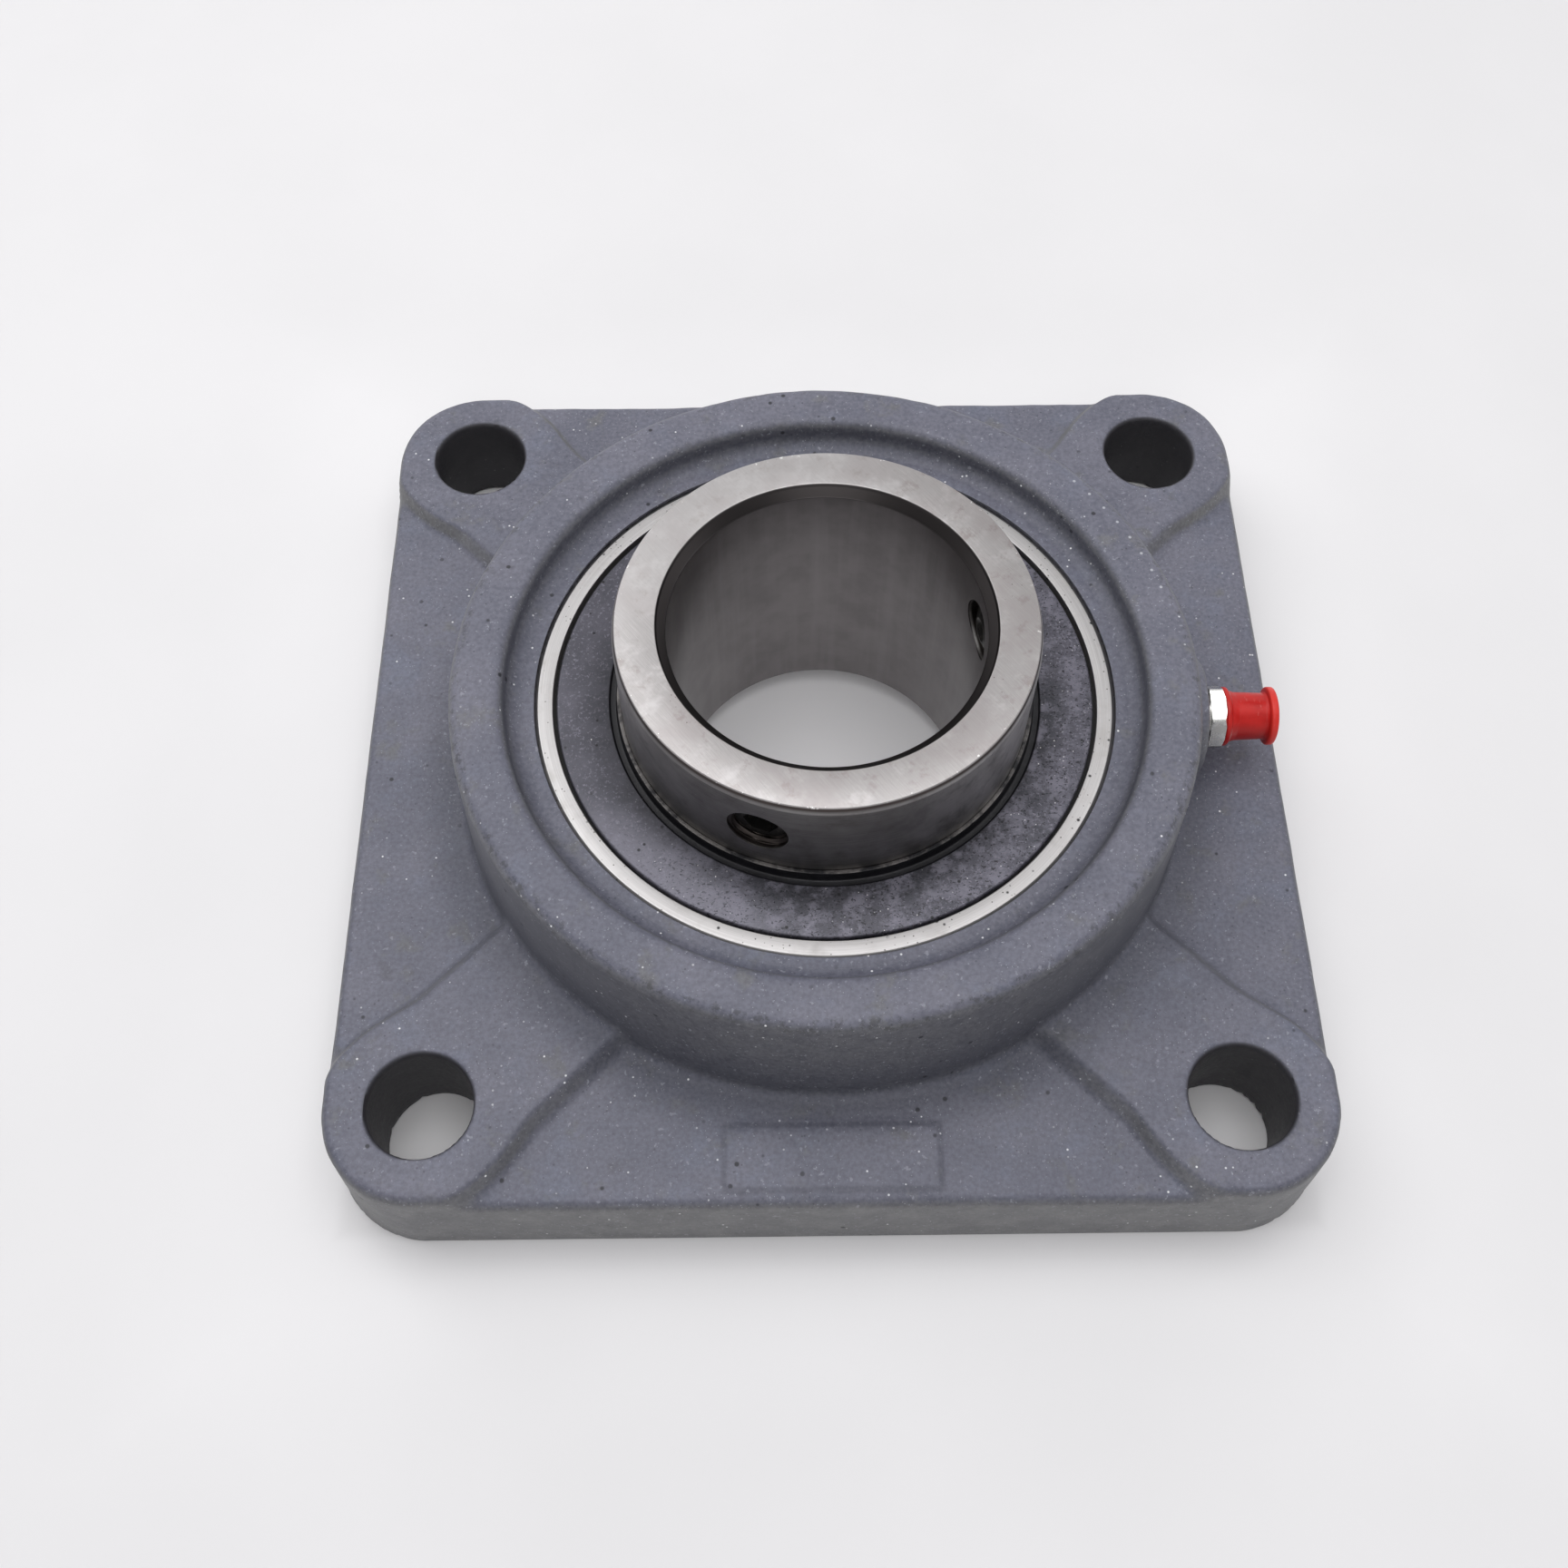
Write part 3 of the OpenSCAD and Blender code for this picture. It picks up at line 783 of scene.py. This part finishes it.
def painted_shade(look, color):
    """Painted shade on slopes, stronger towards the front, at the hub's foot, in the recess and
    round the tablet.
    """
    # Painted shade on the slopes beside the ribs and pads, stronger towards the front.
    slope = look.both(look.step(look.upward, 0.15, 0.5), look.step(look.upward, 0.985, 0.85),
                      look.radial(HUB_R + 2, HUB_R + 4), look.step(look.y, 30, -20, 0.05, 0.4))
    color = look.over(color, slope, (0.07, 0.074, 0.1))
    # Painted shade at the hub's foot.
    foot = look.both(look.radial(HUB_R + 12, HUB_R + 1), look.height(HUB_TOP - 8, PLATE_TOP + 2))
    color = look.over(color, foot, (0.06, 0.064, 0.088), 0.55)
    # Painted shade on the recess wall.
    wall = look.both(look.radial(RECESS_R + 0.5, RECESS_R - 0.2), look.step(look.upward, 0.6, 0.2))
    color = look.over(color, wall, (0.055, 0.058, 0.085), 0.55)
    # Painted shade in the recess corner.
    corner = look.both(look.radial(RECESS_R - 4.2, RECESS_R - 1.2),
                       look.radial(RECESS_R + 0.4, RECESS_R - 0.3))
    color = look.over(color, corner, (0.06, 0.063, 0.09), 0.38)
    # Painted shade round the tablet, with gathered paint and dirt.
    return look.over(color, tablet_edge(look), (0.06, 0.062, 0.084), 0.45)


def tablet_edge(look):
    """A soft darker line round the raised tablet: painted shade in the crease, with the paint and
    dirt that gather there.
    """
    out_x = look.beyond(look.x, TABLET_HALF_X)
    out_y = look.beyond(look.math("SUBTRACT", look.y, TABLET_Y), TABLET_HALF_Y)
    edge = look.math("ABSOLUTE", look.either(out_x, out_y))
    return look.both(look.step(edge, 0.8, 0.2), look.height(PLATE_TOP - 1, PLATE_TOP - 0.5))


def paint_grit(look, color, grain):
    """Sand grain under the paint, with pale and dark specks on it."""
    hollow = look.mix(0.26, color, (0.02, 0.02, 0.03))
    crest = look.mix(0.08, color, (0.5, 0.5, 0.56))
    color = look.mix(look.step(grain, 0.25, 0.75), hollow, crest)
    pale = look.patches(0.85, 0.66, 0.72, 2, 0.5, shift=7)
    color = look.over(color, pale, (0.4, 0.41, 0.46), 0.35)
    color = scatter(look, color, (0.6, 0.61, 0.65), 0.5, spacing=0.65, size=0.14, patch=6,
                    share=0.44, shift=50)
    color = scatter(look, color, (0.85, 0.85, 0.87), 0.9, spacing=2.3, size=0.1, patch=14,
                    share=0.5, shift=61)
    color = scatter(look, color, (0.04, 0.04, 0.05), 0.6, spacing=1.3, size=0.17, patch=8,
                    share=0.5, shift=90)
    return scatter(look, color, (0.015, 0.015, 0.02), 0.9, spacing=4.3, size=0.12, patch=20,
                   share=0.48, shift=12)


def rim_marks(look, color):
    """Chips on the hub's rim, fine dust all over, and the row of splashes."""
    rim = look.both(look.height(HUB_TOP - 3.2, HUB_TOP - 1.6),
                    look.radial(HUB_R - 2.6, HUB_R - 1.2))
    chipped = look.patches(1.6, 0.53, 0.62, 4, 0.75, shift=66)
    color = look.over(color, look.both(rim, chipped), (0.05, 0.05, 0.052), 0.55)
    dust = look.patches(0.8, 0.69, 0.75, 3, 0.7, shift=17)
    color = look.over(color, dust, (0.04, 0.04, 0.045), 0.45)
    return look.over(color, splashes(look), (0.5, 0.51, 0.55), 0.8)


def splashes(look):
    """A short row of pale dots on the hub's rim, evenly spaced, between two angles."""
    pitch, first, last = 3.6, 14.5, 43.3   # in degrees
    pitch_along_rim = 3.74
    turn = look.math("MULTIPLY", look.angle(), 180 / math.pi)
    share = look.math("FRACT", look.math("DIVIDE", look.math("SUBTRACT", turn, first), pitch))
    along = look.math("MULTIPLY", look.math("SUBTRACT", share, 0.5), pitch_along_rim)
    across = look.math("SUBTRACT", look.radius, HUB_R - 2.4)
    dot = look.step(look.length(along, across), 0.34, 0.16)
    return look.both(dot, look.both(look.step(turn, first - 0.1, first + 0.1),
                                    look.step(turn, last + 0.1, last - 0.1)),
                     look.height(HUB_TOP - 2, HUB_TOP - 1.5))


def bolt_hole_shade(look, color):
    """Painted shade: the bolt holes are darker inside."""
    off_axis = look.length(look.beyond(look.x, BOLT_AT), look.beyond(look.y, BOLT_AT))
    hole = look.step(off_axis, BOLT_HOLE_R + 0.7, BOLT_HOLE_R + 0.1)
    return look.over(color, hole, (0.022, 0.02, 0.026), 0.86)


def mounting_face(look, color, smudge):
    """The face that bolts to a machine is turned and bare."""
    under = look.both(look.step(look.upward, -0.9, -0.98), look.height(0.5, 0.2))
    lines = look.step(turned(look, 0.35, 4), 0.3, 0.7)
    bare = look.mix(lines, (0.2, 0.2, 0.205), (0.27, 0.27, 0.275))
    bare = look.over(bare, smudge, (0.13, 0.125, 0.12), 0.5)
    return look.over(color, under, bare)


# -------------------- steels

def inner_ring_steel():
    """Ground end faces, a honed bore and a turned outside, each with its own wear and painted light
    and shade.
    """
    look = Look("inner_ring_steel", metallic=1.0, roughness=0.3)
    ends = look.either(look.height(RING_HIGH.z - 0.28, RING_HIGH.z - 0.1),
                       look.height(RING_LOW.z + 0.28, RING_LOW.z + 0.1))
    face = look.both(ends, look.radial(BORE_R + 1.4, BORE_R + 1.6))
    bore = look.radial(BORE_R + 0.35, BORE_R + 0.12)
    rings = turned(look, 0.14)
    cloud = look.patches(7, 0.3, 0.7, shift=5)
    color = look.mix(bore, ring_side(look, cloud, rings), ring_bore(look, cloud))
    color = look.mix(face, color, ring_face(look))
    color = ring_edges(look, color, face)
    # Painted shade inside the set screw holes.
    color = look.over(color, screw_hole_shade(look), (0.07, 0.06, 0.055))
    rough = look.mix(face, look.mix(bore, (0.36,) * 3, (0.3,) * 3), (0.4,) * 3)
    lines = look.mix(face, rings, brushed(look, 0.12, 5.0, -52))
    return look.done(color, rough, look.bump(lines, 0.005, 0.6))


def ring_edges(look, color, face):
    """Dark chamfers at the bore and the rim, and bright nicks along the rim."""
    lip = look.both(look.radial(BORE_R + 1.7, BORE_R + 1.5),
                    look.height(RING_HIGH.z - 1.9, RING_HIGH.z - 1.6))
    color = look.over(color, lip, (0.062, 0.056, 0.056))
    chamfer = look.both(look.radial(INNER_R - 0.12, INNER_R - 0.3),
                        look.radial(INNER_R - 1.2, INNER_R - 1.0), look.math("SUBTRACT", 1.0, face))
    color = look.over(color, chamfer, (0.09, 0.075, 0.07))
    nick = look.patches(1.1, 0.63, 0.68, 3, 0.7, shift=40)
    edge = look.both(look.radial(INNER_R - 1.2, INNER_R - 0.85), face)
    return look.over(color, look.both(nick, edge), (0.92, 0.91, 0.9))


def screw_hole_shade(look):
    """Painted shade inside the set screw holes: the ring's metal near the height of the set screws.
    """
    off_screw = look.math("ABSOLUTE", look.math("SUBTRACT", look.z, SCREW_Z))
    return look.both(look.radial(INNER_R - 0.25, INNER_R - 0.6),
                     look.radial(BORE_R + 0.3, BORE_R + 0.8), look.step(off_screw, 7.5, 6.5))


def ring_face(look):
    """Ground face: fine slanting scratches, brown stains and small dark specks, with painted
    reflection that is darker towards the front right and paler towards the back left.
    """
    scratches = look.step(brushed(look, 0.12, 5.0, -52), 0.3, 0.7)
    color = look.mix(scratches, (0.41, 0.392, 0.39), (0.5, 0.48, 0.478))
    coarse = look.step(brushed(look, 0.35, 7.0, -47), 0.55, 0.8)
    color = look.over(color, coarse, (0.57, 0.553, 0.55))
    pale = look.patches(6, 0.48, 0.68, 4, 0.7, shift=81)
    color = look.over(color, pale, (0.66, 0.645, 0.645), 0.55)
    haze = look.patches(9, 0.42, 0.62, shift=11)
    color = look.over(color, haze, (0.4, 0.365, 0.365), 0.5)
    stain = look.patches(3.2, 0.53, 0.68, 5, 0.75, shift=21)
    color = look.over(color, stain, (0.3, 0.25, 0.24), 0.5)
    way = look.along(0.6, -0.8)
    # Painted reflection: darker towards the front right, paler towards the back left.
    color = look.over(color, look.step(way, -12, 28, 0.0, 0.26), (0.26, 0.245, 0.245))
    color = look.over(color, look.step(way, -8, -30, 0.0, 0.35), (0.66, 0.645, 0.645))
    return scatter(look, color, (0.06, 0.04, 0.035), 0.8, spacing=1.1, size=0.11, patch=6,
                   share=0.56, shift=70)


def ring_side(look, cloud, rings):
    """Turned outside: fine rings under brown tarnish and smudges, with painted shade at the front
    and pale patches on the right that are partly worn by rubbing and partly painted highlight.
    """
    color = look.mix(cloud, (0.45, 0.435, 0.425), (0.62, 0.605, 0.595))
    tarnish = look.patches((5, 5, 3), 0.46, 0.74, 4, 0.7, shift=52)
    color = look.over(color, tarnish, (0.15, 0.135, 0.125), 0.42)
    # Painted shade towards the front.
    color = look.over(color, look.step(look.y, -10, -32, 0.0, 0.5), (0.12, 0.11, 0.105))
    groove = look.mix(0.3, color, (0.05, 0.045, 0.04))
    color = look.mix(look.step(rings, 0.3, 0.7), groove, color)
    # Pale patches only on the right side: partly worn by rubbing, partly painted highlight.
    rubbed_and_highlit = look.both(look.step(look.x, 4, 30), look.patches(5, 0.3, 0.6, 4, 0.7))
    color = look.over(color, rubbed_and_highlit, (0.8, 0.785, 0.77), 0.6)
    return scatter(look, color, (0.7, 0.69, 0.67), 0.5, spacing=0.9, size=0.11, patch=5,
                   share=0.52, shift=23)


def ring_bore(look, cloud):
    """Honed bore with soft pale lines along the shaft: painted reflection."""
    reflected_streaks = look.noise((0.13, 60.0, 1.0), 3, 0.6, at=look.join(look.angle(), look.z, 0.0))
    color = look.mix(cloud, (0.2, 0.187, 0.189), (0.245, 0.23, 0.232))
    return look.over(color, look.step(reflected_streaks, 0.4, 0.75), (0.29, 0.275, 0.277), 0.5)


def outer_ring_steel():
    """Turned face with painted shade at the front and many dark specks."""
    look = Look("outer_ring_steel", metallic=1.0, roughness=0.34)
    rings = turned(look, 0.2, 9)
    color = look.mix(look.step(rings, 0.3, 0.7), (0.46, 0.447, 0.447), (0.58, 0.567, 0.567))
    dull = look.patches(6, 0.48, 0.72, 4, 0.65)
    color = look.over(color, dull, (0.4, 0.38, 0.37), 0.45)
    # Painted shade towards the front.
    color = look.over(color, look.step(look.y, -20, -44, 0.0, 0.35), (0.34, 0.33, 0.33))
    color = scatter(look, color, (0.04, 0.035, 0.03), 0.85, spacing=0.9, size=0.18, patch=5,
                    share=0.44, shift=2)
    color = scatter(look, color, (0.03, 0.028, 0.03), 0.95, spacing=3.0, size=0.13, patch=9,
                    share=0.38, shift=37)
    return look.done(color, look.step(dull, 0, 1, 0.42, 0.5), look.bump(rings, 0.008, 0.6))


def black_oxide():
    """Set screws, browned where the black has worn."""
    look = Look("black_oxide", metallic=0.7, roughness=0.4)
    wear = look.patches(1.2, 0.5, 0.75)
    color = look.mix(wear, (0.028, 0.027, 0.026), (0.085, 0.078, 0.07))
    return look.done(color, look.step(wear, 0, 1, 0.42, 0.3), look.bump(look.noise(0.4), 0.01, 0.5))


def zinc_plate():
    """Bright nipple, with painted shade on the facets that look down."""
    look = Look("zinc_plate", metallic=1.0, roughness=0.22)
    cloud = look.patches(2.0, 0.4, 0.7)
    color = look.mix(cloud, (0.82, 0.82, 0.8), (0.7, 0.69, 0.66))
    # Painted shade on the faces that look down.
    down = look.step(look.upward, 0.55, 0.2, 0.0, 0.85)
    color = look.over(color, down, (0.2, 0.2, 0.195))
    speck = look.step(look.dots(1.6), 0.08, 0.05)
    color = look.over(color, speck, (0.08, 0.08, 0.07), 0.8)
    return look.done(color, look.step(cloud, 0, 1, 0.18, 0.3),
                     look.bump(look.noise(0.5, 2, 0.5), 0.008, 0.5))


def plain_steel(name, color, roughness, pitch):
    """Bright hidden metal with fine lines and slight staining."""
    look = Look(name, metallic=1.0, roughness=roughness)
    lines = turned(look, pitch)
    cloud = look.patches(4, 0.45, 0.75)
    stained = look.over(color, cloud, tuple(0.6 * c for c in color), 0.5)
    rough = look.step(lines, 0.2, 0.8, roughness * 0.85, roughness * 1.2)
    return look.done(stained, rough, look.bump(lines, 0.004, 0.5))


# -------------------- flinger, cap and rubber

def flinger_coat():
    """Dark coated sheet under dust and grit, with painted shade and painted sheen, and a bare cut
    edge.
    """
    look = Look("flinger_coat", metallic=0.35, roughness=0.42, specular=0.5)
    cloud = look.patches(12, 0.35, 0.7, shift=2)
    color = look.mix(cloud, (0.058, 0.058, 0.074), (0.096, 0.093, 0.118))
    grain = look.noise(0.5, 3, 0.65)
    color = look.over(color, look.step(grain, 0.52, 0.72), (0.22, 0.21, 0.26))
    color = flinger_zones(look, color)
    color = flinger_dirt_and_glints(look, color)
    # Painted shade, with some grease, in the groove beside the collar.
    groove = look.radial(INNER_R + 2.4, INNER_R + 1.9)
    color = look.over(color, groove, (0.007, 0.007, 0.009), 0.94)
    collar_top = SPHERE_Z + FLINGER_COLLAR
    cut = look.both(look.height(collar_top - 0.14, collar_top - 0.06),
                    look.patches((6, 6, 2), 0.42, 0.62, 4, 0.75, shift=88))
    color = look.over(color, cut, (0.3, 0.28, 0.27), 0.5)
    rough = look.step(grain, 0.3, 0.7, 0.34, 0.5)
    return look.done(color, rough, look.bump(look.noise(0.7, 3, 0.6, shift=1), 0.035, 0.7))


def flinger_zones(look, color):
    """Painted shade beside the ring, at the front and at the left, and a pale patch at the front
    left that is partly dust and partly painted sheen.
    """
    # Painted shade beside the ring, stronger towards the front.
    near = look.both(look.radial(INNER_R + 8, INNER_R + 2), look.step(look.y, 10, -25, 0.5, 0.8))
    color = look.over(color, near, (0.02, 0.02, 0.026))
    # A pale patch at the front left: partly dust, partly painted sheen.
    dust_and_sheen = look.both(look.step(look.along(-0.5, -0.85), 33, 41), look.step(look.x, 6, -16))
    color = look.over(color, dust_and_sheen, (0.19, 0.185, 0.225), 0.5)
    middle = look.step(look.math("ABSOLUTE", look.x), 17, 4)
    # Painted shade at the front.
    front = look.both(look.step(look.y, -30, -38), middle)
    color = look.over(color, front, (0.03, 0.03, 0.038), 0.45)
    # Painted shade towards the left.
    return look.over(color, look.step(look.x, -30, -40, 0.0, 0.22), (0.03, 0.03, 0.038))


def flinger_dirt_and_glints(look, color):
    """Black grit and smears, thickest on the front and right, with a pale haze that is partly dust
    and partly painted sheen, and painted glints.
    """
    uneven = look.math("MULTIPLY", look.noise(9, 3, 0.6, shift=60), 50.0)
    grime_and_sheen = look.step(look.add(look.along(0.8, -0.6), uneven), 8, 42, 0.15, 1.0)
    # The pale haze, laid where the grime is heaviest towards the front right, is partly dust and
    # partly painted sheen.
    haze = look.patches(3.5, 0.42, 0.66, 4, 0.7, shift=44)
    color = look.over(color, look.both(haze, grime_and_sheen), (0.185, 0.178, 0.222), 0.75)
    smear = look.step(look.noise((0.8, 0.5, 0.6), 4, 0.7, shift=8, warp=0.6), 0.56, 0.61)
    color = look.over(color, look.both(smear, grime_and_sheen), (0.012, 0.012, 0.016), 0.85)
    grit = look.both(look.step(look.dots(0.8, shift=15), 0.22, 0.12),
                     look.patches(2.5, 0.42, 0.56, shift=19), grime_and_sheen)
    color = look.over(color, grit, (0.008, 0.008, 0.012), 0.9)
    color = scatter(look, color, (0.006, 0.006, 0.008), 0.95, spacing=2.9, size=0.13, patch=8,
                    share=0.4, shift=33)
    # Painted glints: bright dots towards the front right.
    glint = look.both(look.step(look.dots(0.9, shift=29), 0.13, 0.06), grime_and_sheen,
                      look.patches(4, 0.5, 0.62, 2, 0.6, shift=72))
    color = look.over(color, glint, (0.85, 0.84, 0.86), 0.9)
    # Painted glints: tiny white specks.
    return scatter(look, color, (0.8, 0.79, 0.8), 0.9, spacing=2.2, size=0.06, patch=5,
                   share=0.52, shift=29)


def red_plastic():
    """Soft red cap with painted shade below, a painted highlight round its outer end and pale
    scuffs.
    """
    look = Look("red_plastic", roughness=0.42, specular=0.32)
    look.shader.inputs["Subsurface Weight"].default_value = 0.08
    look.shader.inputs["Subsurface Radius"].default_value = (0.002, 0.0005, 0.0005)
    cloud = look.patches(3.0, 0.35, 0.7)
    color = look.mix(cloud, (0.46, 0.008, 0.006), (0.55, 0.014, 0.011))
    # Painted shade on the faces that look down.
    down = look.step(look.upward, 0.8, -0.2, 0.0, 0.7)
    color = look.over(color, down, (0.26, 0.003, 0.002))
    # Painted highlight round the cap's outer end.
    brim_highlight = look.step(look.x, CAP_HIGH.x - 1.5, CAP_HIGH.x - 1.2)
    color = look.over(color, brim_highlight, (0.84, 0.055, 0.04), 0.5)
    scuff = look.patches((0.5, 2.0, 2.0), 0.62, 0.75, 3, 0.7, shift=6)
    color = look.over(color, scuff, (0.8, 0.25, 0.22), 0.2)
    return look.done(color, look.step(cloud, 0, 1, 0.32, 0.42),
                     look.bump(look.noise(0.8, 2, 0.5), 0.02, 0.5))


def moulded_rubber():
    look = Look("moulded_rubber", roughness=0.6, specular=0.35)
    cloud = look.patches(5, 0.4, 0.7)
    color = look.mix(cloud, (0.016, 0.016, 0.017), (0.032, 0.031, 0.03))
    return look.done(color, look.step(cloud, 0, 1, 0.55, 0.7),
                     look.bump(look.noise(0.4, 2, 0.6), 0.015, 0.6))


def dress_hidden_nodes():
    """Better materials for the CAD nodes that stay as they are."""
    looks = {
        "ball": plain_steel("ball_steel", (0.78, 0.78, 0.79), 0.08, 0.3),
        "cage": plain_steel("cage_steel", (0.48, 0.46, 0.42), 0.35, 0.25),
        "seal_insert": plain_steel("seal_insert_steel", (0.3, 0.3, 0.3), 0.4, 0.3),
        "rubber": moulded_rubber()}
    for name, obj in frame["nodes"].items():
        kind = next((k for k in ("rubber", "cage", "ball") if k in name), None)
        if "insert" in name:
            kind = "seal_insert"
        if kind:
            for material_slot in obj.material_slots:
                material_slot.material = looks[kind]


# -------------------- set

def make_floor():
    """A wide white floor, just below the part."""
    size = 3000.0
    floor = make_mesh("floor", [(-size, -size, 0), (size, -size, 0), (size, size, 0),
                                (-size, size, 0)], [(0, 1, 2, 3)])
    floor.data.materials.append(white_floor())
    floor.location.z = -0.02 * MM


def white_floor():
    """Faintly uneven white, which glows far out, round the flange's foot and under the bore."""
    look = Look("floor", roughness=0.55, specular=0.25)
    look.shader.inputs["Emission Color"].default_value = (0.98, 0.97, 1.0, 1)
    far = look.add(look.radial(420, 800, 0.0, 0.24),
                   look.radial(900, 1700, 0.0, 0.36))
    square = look.either(look.math("ABSOLUTE", look.x), look.math("ABSOLUTE", look.y))
    foot = look.both(look.step(square, 79, 82), look.step(square, 125, 84, 0.0, 0.05))
    centre = look.radial(40, 25, 0.0, 0.1)
    look.feed(look.add(far, look.add(foot, centre)), look.shader.inputs["Emission Strength"])
    faint = look.patches(60, 0.3, 0.7, 3, 0.5)
    return look.done(look.mix(faint, (0.8, 0.793, 0.805), (0.82, 0.812, 0.825)))


def area_light(name, place, size, power):
    """A soft panel aimed at the part, with place and size in metres and power in watts."""
    light = bpy.data.lights.new(name, "AREA")
    light.shape = "RECTANGLE"
    light.size, light.size_y = size
    light.energy = power
    obj = bpy.data.objects.new(name, light)
    obj.location = place
    obj.rotation_mode = "QUATERNION"
    obj.rotation_quaternion = (Vector((0, 0, 0.02)) - Vector(place)).to_track_quat("-Z", "Y")
    bpy.context.scene.collection.objects.link(obj)


def make_world():
    """White light from all round, stronger from low down than from above."""
    world = bpy.data.worlds.new("studio")
    world.use_nodes = True
    nodes, links = world.node_tree.nodes, world.node_tree.links
    background = nodes["Background"]
    background.inputs["Color"].default_value = (0.99, 0.98, 1.0, 1)
    direction = nodes.new("ShaderNodeTexCoord")
    split = nodes.new("ShaderNodeSeparateXYZ")
    fade = nodes.new("ShaderNodeMapRange")
    fade.interpolation_type = "SMOOTHSTEP"
    for name, number in (("From Min", 0.0), ("From Max", 0.45), ("To Min", 0.75),
                         ("To Max", 0.17)):
        fade.inputs[name].default_value = number
    links.new(direction.outputs["Generated"], split.inputs[0])
    links.new(split.outputs["Z"], fade.inputs["Value"])
    links.new(fade.outputs["Result"], background.inputs["Strength"])
    bpy.context.scene.world = world


def make_lights():
    """Weak soft panels, which give the steel and the enamel their highlights."""
    area_light("overhead", (0.09, 0.02, 0.9), (0.6, 0.5), 2.3)
    area_light("left", (-0.43, 0.28, 0.79), (0.62, 1.0), 3.9)
    area_light("right", (0.55, 0.31, 0.77), (0.4, 1.0), 1.15)
    area_light("front", (0.0, -0.5, 0.8), (0.6, 0.5), 1.35)
    area_light("low_front", (0.0, -1.0, 0.5), (0.8, 0.5), 0.75)
    area_light("low_right", (1.0, 0.0, 0.5), (0.5, 0.8), 0.65)
    area_light("back", (0.0, 0.97, 0.58), (2.0, 0.5), 3.0)


def make_camera():
    """The camera stands in front of the flange and looks steeply down on it."""
    camera = bpy.data.cameras.new("camera")
    camera.sensor_width = 36
    camera.lens = 39.08
    camera.clip_start = 0.01
    obj = bpy.data.objects.new("camera", camera)
    obj.location = Vector((-8.5, -150.7, 278.9)) * MM
    azimuth, elevation = math.radians(-0.66), math.radians(61.14)
    back = Vector((math.sin(azimuth) * math.cos(elevation),
                   -math.cos(azimuth) * math.cos(elevation), math.sin(elevation)))
    obj.rotation_mode = "QUATERNION"
    obj.rotation_quaternion = (-back).to_track_quat("-Z", "Y")
    bpy.context.scene.collection.objects.link(obj)
    bpy.context.scene.camera = obj
    bpy.context.scene.view_settings.view_transform = "Standard"


make_camera()
make_world()
make_lights()
make_floor()
make_housing()
make_inner_ring()
make_outer_ring()
make_flinger("front", 1)
make_flinger("rear", -1)
for number, angle in enumerate(SCREW_ANGLES, 1):
    make_set_screw(number, angle)
make_nipple()
make_spring()
make_cap()
dress_hidden_nodes()
